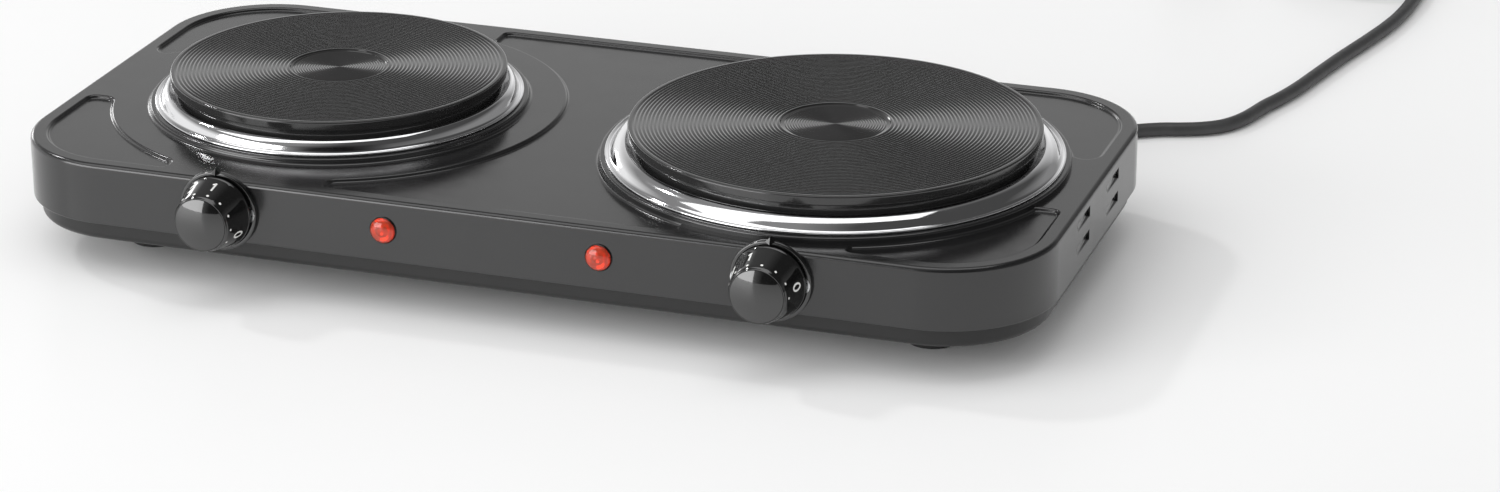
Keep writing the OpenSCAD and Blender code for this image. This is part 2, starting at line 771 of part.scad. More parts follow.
// Neutral wires: mains block to each plate's terminals
module neutral_wires() {
  start_y = block_y - block_d / 2;
  pin_z = terminal_z - 8 - pin_l;
  pin_x = plate_x + terminal_x;
  color("#3f6fae") {
    tube([
      [cord_x + 7, start_y, block_wire_z], [cord_x + 5, start_y - 10, floor_z + 14], [130, 40, floor_z + 16],
      [60, 34, floor_z + 13], [0, 18, floor_z + 10], [-60, 0, floor_z + 9],
      [-pin_x + 6, terminal_y + 10, floor_z + 12], [-pin_x, terminal_y + 1, pin_z - 8],
      [-pin_x, terminal_y, pin_z]
    ], wire_r, 3, 8, first = FRONT, last = UP);
    tube([
      [cord_x + 12, start_y, block_wire_z], [cord_x + 13, 40, floor_z + 6], [156, 0, floor_z + 11],
      [136, -18, floor_z + 14], [pin_x + 3, terminal_y + 6, floor_z + 14],
      [pin_x, terminal_y, pin_z]
    ], wire_r, 3, 8, first = FRONT, last = UP);
  }
}

// Earth wire from the mains block to a ring tag under the earth screw
module earth_wire() {
  start_y = block_y - block_d / 2;
  tag_z = floor_z + 1;
  color("#6f9a3a") {
    tube([
      [cord_x, start_y, block_wire_z], [cord_x + 2, start_y - 16, floor_z + 4],
      [earth_x - 2, earth_y + 26, tag_z + wire_r], [earth_x, earth_y + 6, tag_z + wire_r]
    ], wire_r, 3, 8, first = FRONT, last = FRONT);
    difference() {
      union() {
        post(4.5, floor_z, tag_z, [earth_x, earth_y]);
        translate([earth_x - 2, earth_y, floor_z]) cube([4, 11, 1]);
      }
      post(m4, floor_z - 1, tag_z + 1, [earth_x, earth_y]);
    }
  }
}

// Three conductors from the cord's end to the back of the mains block
module cord_conductors() {
  end_y = block_y + block_d / 2;
  for (k = [-1, 0, 1])
    color(["#7a4a2a", "#6f9a3a", "#3f6fae"][k + 1]) tube([
      [cord_x + k * 1.8, cord_end_y, cord_z + (k == 0 ? 1.8 : -1.2)],
      [cord_x + k * 4, cord_end_y - 6, cord_z - 3],
      [cord_x + k * 9, end_y + 5, block_wire_z + 2], [cord_x + k * 10, end_y, block_wire_z]
    ], conductor_r, 3, 8, first = FRONT, last = FRONT);
}

module inner_cord() {
  color("#2b2b2d") rod_y(cord_r, cord_end_y, relief_tip_y, [cord_x, cord_z]);
}

// ---------------------------------------------------------------- cord and plug

// Snap-in bush with a tapered sleeve
module strain_relief() {
  inner_y = back_y - sheet_t - 3;
  color("#1d1d1f") difference() {
    union() {
      rod_y(hole_r + 0.8, inner_y, back_y - sheet_t, [cord_x, cord_z]);
      rod_y(hole_r, back_y - sheet_t - eps, back_y + eps, [cord_x, cord_z]);
      rod_y(hole_r + 2, back_y, back_y + 2.5, [cord_x, cord_z]);
      translate([cord_x, back_y, cord_z]) rotate([-90, 0, 0])
        cylinder(r1 = hole_r - 1, r2 = cord_r + 1.2, h = relief_l);
    }
    rod_y(cord_r, inner_y - 1, relief_tip_y + 1, [cord_x, cord_z]);
  }
}

module power_cord() {
  color("#2b2b2d") tube(cord_points, cord_r, 2, 10, first = BACK);
}

module cord_coil() {
  half_w = cord_d;
  color("#2b2b2d") translate([coil_c[0], coil_c[1], 0]) rotate_extrude()
    translate([coil_mid_r, 0]) polygon([
      [-half_w + 1, coil_low_z], [half_w - 1, coil_low_z], [half_w, coil_low_z + 2],
      [half_w, coil_low_z + cord_r + 1], [cord_r, coil_top_z], [-cord_r, coil_top_z],
      [-half_w, coil_low_z + cord_r + 1], [-half_w, coil_low_z + 2]
    ]);
}

// Strap around the bundle of turns, across the ring from where the cord comes in
module cord_tie() {
  strap_t = 0.8;
  strap_w = 9;
  slack = 0.4; // the strap is straight and the turns are curved
  half_w = cord_d + slack + strap_t;
  low = coil_low_z;
  color("#141415") translate([coil_c[0] - coil_mid_r, coil_c[1], 0]) rotate([90, 0, 0])
    translate([0, 0, -strap_w / 2]) linear_extrude(strap_w) difference() {
      polygon([
        [-half_w + 1, low - strap_t], [half_w - 1, low - strap_t], [half_w, low + 1],
        [half_w, low + cord_r + 1.5], [cord_r + slack + 0.6, coil_top_z + strap_t],
        [-cord_r - slack - 0.6, coil_top_z + strap_t], [-half_w, low + cord_r + 1.5],
        [-half_w, low + 1]
      ]);
      polygon([
        [-cord_d - slack, low], [cord_d + slack, low], [cord_d + slack, low + cord_r + 1.2],
        [cord_r + slack, coil_top_z], [-cord_r - slack, coil_top_z],
        [-cord_d - slack, low + cord_r + 1.2]
      ]);
    }
}

module cord_tail() {
  color("#2b2b2d") tube(tail_points, cord_r, 3, 10, last = LEFT);
}

// Round two-pin earthed plug lying on its side, its pins towards -X
module plug_body() {
  color("#232325") translate([plug_back_x, plug_axis[0], plug_axis[1]]) rotate([0, -90, 0]) {
    cylinder(r1 = cord_r + 1.2, r2 = cord_r + 3.2, h = 24);
    translate([0, 0, 22]) difference() {
      union() {
        cylinder(r1 = 9, r2 = 14, h = 8);
        translate([0, 0, 8]) cylinder(r1 = 14, r2 = 15.5, h = 20);
        translate([0, 0, 28]) cylinder(r = plug_r, h = plug_l - 50);
      }
      for (s = [-1, 1]) {
        translate([0, s * pin_spacing / 2, plug_l - 22 - pin_root_l])
          cylinder(r = pin_root_r, h = 20);
        translate([s * 20, 0, 34]) cube([8.4, 8, 20], center = true);
      }
    }
  }
}

module plug_pins() {
  color("silver") for (s = [-1, 1])
    translate([plug_face_x, plug_axis[0] + s * pin_spacing / 2, plug_axis[1]])
      rotate([0, -90, 0]) {
        translate([0, 0, -pin_root_l]) cylinder(r = pin_root_r, h = pin_root_l + 1);
        cylinder(r = plug_pin_r, h = plug_pin_l - 1);
        translate([0, 0, plug_pin_l - 1]) cylinder(r1 = plug_pin_r, r2 = 1.5, h = 1);
      }
}

module plug_earth_clips() {
  color("#c9a23a") for (s = [-1, 1])
    translate([plug_face_x + 7, plug_axis[0] - 2.5, plug_axis[1] + s * 16.2 - 0.4])
      cube([6, 5, 0.8]);
}

// ---------------------------------------------------------------- nodes

top_housing();
mounting_brackets();
base_pan();
rubber_feet();
foot_screws();
foot_nuts();
base_screws();
hotplate(-plate_x, left_plate_r, left_recess_r);  // left_hotplate
hotplate(plate_x, right_plate_r, right_recess_r);  // right_hotplate
trim_ring(-plate_x, left_ring_r, left_plate_r);  // left_trim_ring
trim_ring(plate_x, right_ring_r, right_plate_r);  // right_trim_ring
heating_coil(-plate_x, left_plate_r);  // left_heating_coil
heating_coil(plate_x, right_plate_r);  // right_heating_coil
cover_plate(-plate_x, left_plate_r);  // left_cover_plate
cover_plate(plate_x, right_plate_r);  // right_cover_plate
plate_studs();
stud_nuts();
clamp_bar(-plate_x, left_collar_r);  // left_clamp_bar
clamp_bar(plate_x, right_collar_r);  // right_clamp_bar
plate_terminals(-plate_x);  // left_plate_terminals
plate_terminals(plate_x);  // right_plate_terminals
thermostat(-knob_x);  // left_thermostat
thermostat(knob_x);  // right_thermostat
thermostat_screws();
bezel(-knob_x);  // left_bezel
bezel(knob_x);  // right_bezel
shaft(-knob_x);  // left_shaft
shaft(knob_x);  // right_shaft
knob(-knob_x);  // left_knob
knob(knob_x);  // right_knob
knob_spring(-knob_x);  // left_knob_spring
knob_spring(knob_x);  // right_knob_spring
lamp_lens(-lamp_x);  // left_lamp_lens
lamp_lens(lamp_x);  // right_lamp_lens
lamp(-lamp_x);  // left_lamp
lamp(lamp_x);  // right_lamp
lamp_clips();
lamp_leads();
terminal_block();
terminal_block_screws();
cord_saddle();
cord_clamp_bar();
cord_clamp_screws();
earth_screw();
live_wires();
neutral_wires();
earth_wire();
inner_cord();
cord_conductors();
strain_relief();
power_cord();
cord_coil();
cord_tie();
cord_tail();
plug_body();
plug_pins();
plug_earth_clips();
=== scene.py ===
"""The looks of a double hot plate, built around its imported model: one operator for each piece."""

import json
import math

import bpy
from bpy.props import FloatProperty, FloatVectorProperty, IntProperty, PointerProperty
from bpy.types import Operator, Panel, PropertyGroup
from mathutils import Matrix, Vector
from mathutils.geometry import tessellate_polygon


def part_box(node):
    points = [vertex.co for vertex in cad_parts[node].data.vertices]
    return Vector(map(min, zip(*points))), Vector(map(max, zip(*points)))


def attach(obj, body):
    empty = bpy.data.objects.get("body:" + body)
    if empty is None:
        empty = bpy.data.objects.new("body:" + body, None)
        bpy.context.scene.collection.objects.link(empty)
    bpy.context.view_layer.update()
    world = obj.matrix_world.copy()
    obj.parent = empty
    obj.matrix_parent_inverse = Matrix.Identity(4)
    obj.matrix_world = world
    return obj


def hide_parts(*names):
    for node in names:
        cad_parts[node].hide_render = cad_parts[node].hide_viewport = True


bl_info = {
    "name": "Double Hot Plate",
    "version": (1, 0, 0),
    "blender": (4, 5, 0),
    "location": "3D View > Sidebar > Hot Plate",
    "description": "Builds the looks of a double hot plate around its packed model",
    "category": "Object",
}

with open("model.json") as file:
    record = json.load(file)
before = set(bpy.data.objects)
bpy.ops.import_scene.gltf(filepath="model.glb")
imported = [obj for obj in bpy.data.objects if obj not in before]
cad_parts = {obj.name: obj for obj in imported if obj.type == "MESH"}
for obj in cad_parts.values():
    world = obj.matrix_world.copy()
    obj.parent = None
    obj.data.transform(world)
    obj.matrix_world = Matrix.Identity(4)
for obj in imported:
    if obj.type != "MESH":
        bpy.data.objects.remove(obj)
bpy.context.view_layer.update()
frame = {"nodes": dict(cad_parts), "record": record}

MM = 0.001
NEAR = 1e-6  # places closer than this are one
UP = Vector((0, 0, 1))
SIDES = ("left", "right")


class Box:
    """A CAD node's box in millimetres: its corners, its centre and half its width."""

    def __init__(self, node):
        self.low, self.high = (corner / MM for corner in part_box(node))
        self.x, self.y, self.z = ((a + b) / 2 for a, b in zip(self.low, self.high))
        self.radius = (self.high.x - self.low.x) / 2


# The housing and the pan, in millimetres
SHEET_T = 1.0  # thickness of the pressed steel
HOUSING = Box("top_housing")
WIDTH = HOUSING.high.x - HOUSING.low.x
DEPTH = HOUSING.high.y - HOUSING.low.y
MIDDLE_Y = HOUSING.y
SEAM_Z = HOUSING.low.z
COLLAR_Z = HOUSING.high.z
TOP_Z = COLLAR_Z - 2.7
CORNER_R = 50.0
HEM_R = 0.7  # the wall's lower edge, turned in by less than a quarter
HEM_ROWS = 5
PAN = Box("base_pan")
PAN_EDGE_R = 3.0
SCREW_HOLE_R = 2.2
SCREW_HEAD_R = 3.8
CORD_HOLE_R = 7.5
PANEL_MARGIN = 8.0
PANEL_DEPTH = 1.6
PANEL_ROUND = 3.0  # corners of the panels' outlines
PANEL_SIDE_GAP = 32.0  # half the plain band beside a plate
PANEL_FRONT_GAP = 38.0  # half the plain band in front of a plate
PANEL_TO_COLLAR = {"left": 17.5, "right": -1.5}  # the right collar stands in the panels
OPENING_INSET = {"left": 0.5, "right": 4.0}  # from the collar's outside to the opening
LOUVRE_AT = ((26.0, -8.0), (26.0, -19.0), (-26.0, -7.0), (-26.0, -18.0))  # y, z from the top

# The plates, their rings and the knobs, in millimetres
RECESS_R = {"left": 22.5, "right": 24.5}
KNOB_AXIS_Z = Box("left_knob").z
# The trim rings' arched section, from the foot to the crown, as shares of its width and height
RING_ARCH = ((0.08, 0.32), (0.22, 0.53), (0.40, 0.72), (0.60, 0.86), (0.80, 0.95))

# The cord's route: from the strain relief over the table to the coil, then to the plug
CORD_POINTS = (
    (150, 158, 36), (150.5, 166, 34.5), (152.5, 176, 29.5), (157.5, 186, 21.5), (166, 194, 13.5),
    (177, 199.5, 7.5), (189, 203.5, 4.4), (200, 209, 3.6), (210, 216, 3.6), (220, 221.5, 3.6),
    (230, 225, 3.6), (239, 229, 3.6), (247.5, 235.5, 3.6), (253.5, 245, 3.6), (257.5, 256, 3.6),
    (261, 269, 3.6), (266, 283, 3.6), (271, 300, 3.6), (276.5, 325, 3.6), (283, 354, 3.6),
    (289.5, 380, 3.6), (295.5, 406, 3.6), (299.5, 430, 3.6), (301.5, 455, 3.7), (302, 480, 4),
)
TAIL_POINTS = ((248, 545.4, 11.6), (234, 543.4, 14.5), (222, 541.4, 17.8), (210, 541, 18.5))
COIL_CENTRE = (261.0, 505.0)
COIL_LOW_Z = 0.8
COIL_R = 37.6
COIL_TURNS = 3.25
COIL_STEP = 9.0  # degrees

# Strokes of the dial's numbers from 0 to 5, in a box 1 wide and 1.4 high
NUMERALS = (
    [(0.5 + 0.45 * math.sin(a * math.pi / 8), 0.7 - 0.65 * math.cos(a * math.pi / 8))
     for a in range(17)],
    [(0.25, 1.1), (0.6, 1.38), (0.6, 0.02)],
    [(0.06, 1.02), (0.18, 1.28), (0.5, 1.38), (0.82, 1.27), (0.93, 0.98), (0.72, 0.62),
     (0.06, 0.04), (0.96, 0.04)],
    [(0.1, 1.24), (0.45, 1.38), (0.84, 1.25), (0.84, 0.92), (0.45, 0.74), (0.9, 0.56),
     (0.92, 0.22), (0.5, 0.02), (0.06, 0.16)],
    [(0.95, 0.42), (0.04, 0.42), (0.7, 1.38), (0.7, 0.02)],
    [(0.86, 1.38), (0.2, 1.38), (0.14, 0.8), (0.5, 0.88), (0.9, 0.7), (0.92, 0.26),
     (0.5, 0.02), (0.08, 0.14)],
)
DIAL_ZERO = {"left": 115.0, "right": 80.0}  # where each dial's 0 stands, clockwise from the top
DIAL_TO_ONE = 105.0  # degrees from the 0 to the 1
DIAL_TO_LAST = 270.0  # degrees from the 0 to the 5, the knob's whole turn
DOT_STEP = 28.0  # from dot to dot
DOT_COUNT = 10

# The stage
CAMERA_AT = (0.636524, -1.650051, 0.707030)
CAMERA_TARGET = (0.0789245, 0.01125, 0.0040872)
CAMERA_LENS = 99.83
KEY_AT = (-0.43, 0.16, 0.42)
SOFTBOXES = (  # name, power, place, size
    ("top_softbox", 48.0, (-0.60, -0.35, 3.2), (2.2, 5.0)),
    ("side_softbox", 82.0, (-2.52, -3.08, 1.05), (3.1, 2.1)),
    ("edge_softbox", 3.0, (-1.9, 1.5, 0.42), (0.55, 0.32)),
)
TABLE_REACH = 30000.0  # from the middle, in millimetres

WHITE = (1.0, 1.0, 1.0, 1.0)
METAL = {"Metallic": 1.0}
FINISHES = {}  # by name, filled by the first piece that needs one


# ---------------------------------------------------------------- settings


def length(name, description, default):
    return FloatProperty(name=name, description=description, default=default, subtype="DISTANCE",
                         unit="LENGTH", precision=5)


def colour(name, description, default):
    return FloatVectorProperty(name=name, description=description, default=default,
                               subtype="COLOR", size=3, min=0.0, max=1.0)


def strength(name, description, default):
    return FloatProperty(name=name, description=description, default=default, min=0.0)


class HotPlateSizes(PropertyGroup):
    """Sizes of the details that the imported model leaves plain."""

    fold_radius: length("Fold", "Radius of the housing's top edge", 0.0021)
    step_radius: length("Step", "Radius of the pressed panels' edges", 0.0013)
    louvre_length: length("Louvre length", "Length of a side louvre", 0.0235)
    louvre_height: length("Louvre height", "Height of a side louvre", 0.0052)
    louvre_depth: length("Louvre depth", "How deep a louvre is pressed in", 0.0015)
    groove_pitch: length("Groove pitch", "Distance between the plates' grooves", 0.00175)
    groove_depth: length("Groove depth", "Depth of the plates' grooves", 0.00033)
    flute_depth: length("Rib depth", "Depth of the grip's ribs", 0.0006)
    numeral_height: length("Numerals", "Height of the dial's numbers", 0.0056)
    cord_diameter: length("Cord", "Diameter of the mains cord", 0.0068)
    flutes: IntProperty(name="Ribs", description="Ribs round a knob", default=28, min=8)


class HotPlateColours(PropertyGroup):
    """Colours of the finishes that show most."""

    paint: colour("Housing", "Satin enamel of the housing", (0.010, 0.010, 0.0103))
    pan: colour("Base pan", "Paint of the base pan", (0.008, 0.008, 0.008))
    iron: colour("Plates", "Coated cast iron", (0.016, 0.016, 0.016))
    ring: colour("Rings", "Polished steel", (0.80, 0.80, 0.81))
    knob: colour("Knobs", "Gloss black plastic", (0.004, 0.004, 0.004))
    marks: colour("Numbers", "Printed numbers", (0.86, 0.86, 0.84))
    lens: colour("Lamps", "Red lens", (0.95, 0.17, 0.08))
    cord: colour("Cord", "Cord and plug", (0.045, 0.045, 0.046))


class HotPlateStudio(PropertyGroup):
    """Light and table."""

    room: strength("Room", "Strength of the light from all round", 0.34)
    key: strength("Key", "Strength of the lamp that casts the shadow", 0.37)
    softboxes: strength("Softboxes", "Strength of the softboxes", 1.0)
    table: colour("Table", "Pale table top", (0.92, 0.92, 0.92))


# ---------------------------------------------------------------- mesh making


def mesh_of(name, points, faces):
    """A mesh from points in millimetres."""
    mesh = bpy.data.meshes.new(name)
    mesh.from_pydata([p * MM for p in points], [], faces)
    return mesh


def show(name, data, finish):
    """New object in the scene with its finish."""
    made = bpy.data.objects.new(name, data)
    data.materials.append(finish)
    bpy.context.scene.collection.objects.link(made)
    return made


def add_piece(name, data, body, slot, *nodes, finish=None):
    """New piece that rides on a body, with its slot's finish, in place of its CAD nodes."""
    piece = show(name, data, finish_of(finish or slot))
    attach(piece, body)
    if nodes:
        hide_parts(*nodes)
    return piece


class Sheet:
    """Faces with exact normals. With a thickness, each face gets its twin on the inner side."""

    def __init__(self, thickness=0.0):
        self.thickness = thickness
        self.points = []
        self.normals = []
        self.faces = []

    def add(self, points, normals, faces, inner=True):
        """Adds faces, each turned to the side that its normals point to."""
        for side in (0, 1) if self.thickness and inner else (0,):
            base = len(self.points)
            self.points += [p - n * self.thickness * side for p, n in zip(points, normals)]
            self.normals += [-n if side else n for n in normals]
            for face in faces:
                a, b, c = (points[face[i]] for i in (0, 1, 2))
                facing = sum((normals[i] for i in face), Vector())
                turned = (b - a).cross(c - a).dot(facing) < 0
                order = reversed(face) if turned != bool(side) else face
                self.faces.append([base + i for i in order])

    def strip(self, rows, closed=True, inner=True):
        """Quads between rows of (point, normal)."""
        for low, high in zip(rows, rows[1:]):
            count = len(low)
            points = [p for p, n in low + high]
            normals = [n for p, n in low + high]
            last = count if closed else count - 1
            faces = [(i, (i + 1) % count, count + (i + 1) % count, count + i) for i in range(last)]
            self.add(points, normals, faces, inner)

    def fill(self, normal, loops):
        """Flat face inside the first loop of points and outside the others."""
        points = [p for loop in loops for p in loop]
        self.add(points, [normal] * len(points), tessellate_polygon(loops))

    def rim(self, row, normal, closed=True):
        """Edge of the sheet along a row of (point, normal)."""
        back = [(p - n * self.thickness, normal) for p, n in row]
        self.strip([[(p, normal) for p, n in row], back], closed, inner=False)

    def hole(self, middle, loop, normal):
        """Edge of a hole in a face with this normal. Gives its loop."""
        rows = [[(p - normal * depth, (middle - p).normalized()) for p in loop]
                for depth in (0, self.thickness)]
        self.strip(rows, inner=False)
        return loop

    def join(self, other):
        """Takes in the faces of another sheet."""
        base = len(self.points)
        self.points += other.points
        self.normals += other.normals
        self.faces += [[base + i for i in face] for face in other.faces]

    def piece(self, name, body, slot, *nodes):
        """The sheet as a new piece."""
        mesh = mesh_of(name, self.points, self.faces)
        mesh.polygons.foreach_set("use_smooth", [True] * len(self.faces))
        mesh.normals_split_custom_set_from_vertices(self.normals)
        return add_piece(name, mesh, body, slot, *nodes)


def upright(x, y):
    """Turns (radius, angle, height) into a place round an upright axis."""
    return lambda r, a, h: Vector((x + r * math.cos(a), y + r * math.sin(a), h))


def facing_front(x, z):
    """The same round an axis towards the front; the height is minus y."""
    return lambda r, a, h: Vector((x + r * math.cos(a), -h, z + r * math.sin(a)))


def facing_back(x, z):
    """The same round an axis towards the back; the height is y."""
    return lambda r, a, h: Vector((x + r * math.sin(a), h, z + r * math.cos(a)))


def facing_left(y, z):
    """The same round an axis towards -X; the height is minus x."""
    return lambda r, a, h: Vector((-h, y - r * math.cos(a), z + r * math.sin(a)))


def corners(profile, closed, sharp):
    """The profile's points with their normals: a sharp corner comes twice."""
    profile = [p for p, q in zip(profile, profile[1:]) if math.dist(p, q) > NEAR] + profile[-1:]
    count = len(profile)
    sides = []
    for i in range(count if closed else count - 1):
        (r0, h0), (r1, h1) = profile[i], profile[(i + 1) % count]
        size = math.hypot(r1 - r0, h1 - h0)
        sides.append(((h1 - h0) / size, (r0 - r1) / size, size))
    out = []
    for i in range(count + 1 if closed else count):
        before = sides[i - 1] if i > 0 or closed else None
        after = sides[i % count] if i < len(sides) or closed else None
        point = profile[i % count]
        if before is None or after is None:
            side = before or after
            out.append([(point, side[:2])])
        elif before[0] * after[0] + before[1] * after[1] < math.cos(math.radians(sharp)):
            out.append([(point, before[:2]), (point, after[:2])])
        else:
            n = [before[k] * before[2] + after[k] * after[2] for k in (0, 1)]
            size = math.hypot(*n)
            out.append([(point, (n[0] / size, n[1] / size))])
    return out


def lathe(sheet, profile, at, steps=96, closed=True, sharp=38, wave=None):
    """Turns a profile of (radius, height), listed with its outside on the right."""
    rows = corners(profile, closed, sharp)
    angles = [2 * math.pi * k / steps for k in range(steps)]

    def row(point, normal):
        r, h = point
        made = []
        for a in angles:
            grown = r + (wave(a, r, h) if wave else 0.0)
            made.append((at(grown, a, h), (at(normal[0], a, normal[1]) - at(0, a, 0)).normalized()))
        return made

    for low, high in zip(rows, rows[1:]):
        ends = [low[-1], high[0]]
        radii = [point[0] for point, normal in ends]
        if max(radii) < NEAR:
            continue
        if min(radii) < NEAR:  # a cap that meets the axis
            tip, rim = sorted(ends, key=lambda e: e[0][0])
            centre = (at(0, 0, tip[0][1]), (at(0, 0, rim[1][1]) - at(0, 0, 0)).normalized())
            fan = [centre] + row(*rim)
            faces = [(0, 1 + k, 1 + (k + 1) % steps) for k in range(steps)]
            sheet.add([p for p, n in fan], [n for p, n in fan], faces)
        else:
            sheet.strip([row(*ends[0]), row(*ends[1])])


def arc(centre, radius, start, end, steps=6):
    """Points on an arc in a profile, in degrees."""
    turns = [math.radians(start + (end - start) * k / steps) for k in range(steps + 1)]
    return [(centre[0] + radius * math.cos(a), centre[1] + radius * math.sin(a)) for a in turns]


def moved(r, h, *points):
    """Points of a profile, each given from (r, h)."""
    return [(r + across, h + up) for across, up in points]


def circle(x, y, r, z, steps=96):
    at = upright(x, y)
    return [at(r, 2 * math.pi * k / steps, z) for k in range(steps)]


def smooth_line(points, steps):
    """Catmull-Rom line through the points."""
    p = [Vector(q) for q in points]
    p = [2 * p[0] - p[1]] + p + [2 * p[-1] - p[-2]]
    line = []
    for a, b, c, d in zip(p, p[1:], p[2:], p[3:]):
        for k in range(steps):
            t = k / steps
            line.append(0.5 * (2 * b + (c - a) * t + (2 * a - 5 * b + 4 * c - d) * t * t
                               + (3 * b - a - 3 * c + d) * t * t * t))
    return line + [p[-2]]


def ease(t):
    """0 to 1 without a jerk at either end."""
    t = min(max(t, 0.0), 1.0)
    return t * t * (3 - 2 * t)


def cord_line(diameter):
    """The cord's whole centreline, in millimetres."""
    half = diameter / 2
    low = COIL_LOW_Z + half
    nested = low + diameter * 0.87
    stacked = low + diameter
    # (degrees turned, distance from the coil's middle turn, height): eased from one to the next
    keys = ((0, half, low), (290, half, low), (372, -half, low), (615, -half, low),
            (690, -half, stacked), (820, -half, stacked), (885, 0, nested), (955, 0, nested),
            (1010, half, stacked), (1170, half, stacked))
    at = upright(*COIL_CENTRE)
    turns = []
    for k in range(int(COIL_TURNS * 360 / COIL_STEP) + 1):
        angle = k * COIL_STEP
        i = max(j for j in range(len(keys) - 1) if keys[j][0] <= angle)
        (a0, r0, z0), (a1, r1, z1) = keys[i], keys[i + 1]
        t = ease((angle - a0) / (a1 - a0))
        turns.append(at(COIL_R + r0 + (r1 - r0) * t, math.radians(angle), z0 + (z1 - z0) * t))
    return smooth_line((*CORD_POINTS, *turns, *TAIL_POINTS), 4)


def outline(inset, steps=16):
    """Four corner arcs of the housing's outline, as (point, outward direction)."""
    made = []
    for turn, (sx, sy) in enumerate(((1, -1), (1, 1), (-1, 1), (-1, -1))):
        middle = Vector((sx * (WIDTH / 2 - CORNER_R), MIDDLE_Y + sy * (DEPTH / 2 - CORNER_R), 0))
        angles = [math.radians(90 * (turn - 1) + 90 * k / steps) for k in range(steps + 1)]
        ways = [Vector((math.cos(a), math.sin(a), 0)) for a in angles]
        made.append([(middle + way * (CORNER_R - inset), way) for way in ways])
    return made


def turned_in(inset, radius, z, way, steps=6):
    """Rows round the outline that start upright at a height and turn in, up or down."""
    rows = []
    for k in range(steps + 1):
        a = math.radians(90 * k / steps)
        across, along = math.cos(a), math.sin(a)
        rise = UP * z + way * (radius * along)
        rows.append([(p + rise, n * across + way * along)
                     for part in outline(inset + radius * (1 - across)) for p, n in part])
    return rows


def both(a, b, r):
    """Distance to where two shapes overlap, its corners rounded by r."""
    return min(max(a, b), -r) + math.hypot(max(a + r, 0), max(b + r, 0))


def trace(distance, start, longest=3.0, shortest=0.3):
    """Points and outward directions round the closed line where the distance is nought."""
    straight = 0.985  # cosine of the most that the line turns in one step

    def way(p):
        e = 0.01
        gx = distance(p.x + e, p.y) - distance(p.x - e, p.y)
        gy = distance(p.x, p.y + e) - distance(p.x, p.y - e)
        return Vector((gx, gy, 0)).normalized()

    def settle(p):
        for _ in range(5):
            p = p - way(p) * distance(p.x, p.y)
        return p

    here = settle(Vector((*start, 0)))
    line = [(here, way(here))]
    while len(line) < 2000:
        step = longest
        along = Vector((-line[-1][1].y, line[-1][1].x, 0))
        while True:
            there = settle(here + along * step)
            turned = way(there).dot(line[-1][1])
            if turned > straight or step < shortest:
                break
            step /= 2
        here = there
        if len(line) > 8 and (here - line[0][0]).length < longest * 0.6:
            return line
        line.append((here, way(here)))
    raise RuntimeError("a pressed panel's outline doesn't close")


# ---------------------------------------------------------------- finishes


def set_sockets(tree, node, sockets):
    """Gives each input its value, or its link from another node."""
    for name, value in sockets.items():
        if isinstance(value, bpy.types.NodeSocket):
            tree.links.new(value, node.inputs[name])
        else:
            node.inputs[name].default_value = value


def add_node(tree, kind, sockets=None, **settings):
    """A shader node with its settings and inputs."""
    node = tree.nodes.new(f"ShaderNode{kind}")
    for name, value in settings.items():
        setattr(node, name, value)
    set_sockets(tree, node, sockets or {})
    return node


def noise(tree, scale, detail, stretch):
    """Noise over the object's own coordinates, drawn out along an axis if asked."""
    vector = add_node(tree, "TexCoord").outputs["Object"]
    if stretch:
        vector = add_node(tree, "Mapping", {"Vector": vector, "Scale": stretch}).outputs["Vector"]
    texture = add_node(tree, "TexNoise", {"Vector": vector, "Scale": scale, "Detail": detail})
    return texture.outputs["Fac"]


def finish(name, tint, roughness, tone, gloss, patch, grain, relief, stretch=None, **sockets):
    """A finish with a tone, gloss and grain that vary over the surface as the real one's do."""
    made = bpy.data.materials.new(name)
    made.use_nodes = True
    tree = made.node_tree
    low, high = 0.3, 0.7  # the noise's usual range
    ramp = add_node(tree, "ValToRGB", {"Fac": noise(tree, patch, 4.0, stretch)})
    for element, position, level in zip(ramp.color_ramp.elements, (low, high), (1 - tone, 1 + tone)):
        element.position = position
        element.color = [min(c * level, 1.0) for c in tint] + [1.0]
    spread = add_node(tree, "MapRange", {
        "Value": noise(tree, patch * 3.1, 5.0, stretch), "From Min": low, "From Max": high,
        "To Min": max(roughness - gloss, 0.02), "To Max": roughness + gloss})
    bump = add_node(tree, "Bump", {"Height": noise(tree, grain, 3.0, stretch), "Strength": 0.6,
                                   "Distance": relief})
    shader = tree.nodes["Principled BSDF"]
    set_sockets(tree, shader, {"Base Color": ramp.outputs["Color"], "Normal": bump.outputs["Normal"],
                               "Roughness": spread.outputs["Result"]})
    set_sockets(tree, shader, {socket.replace("_", " "): v for socket, v in sockets.items()})
    return made


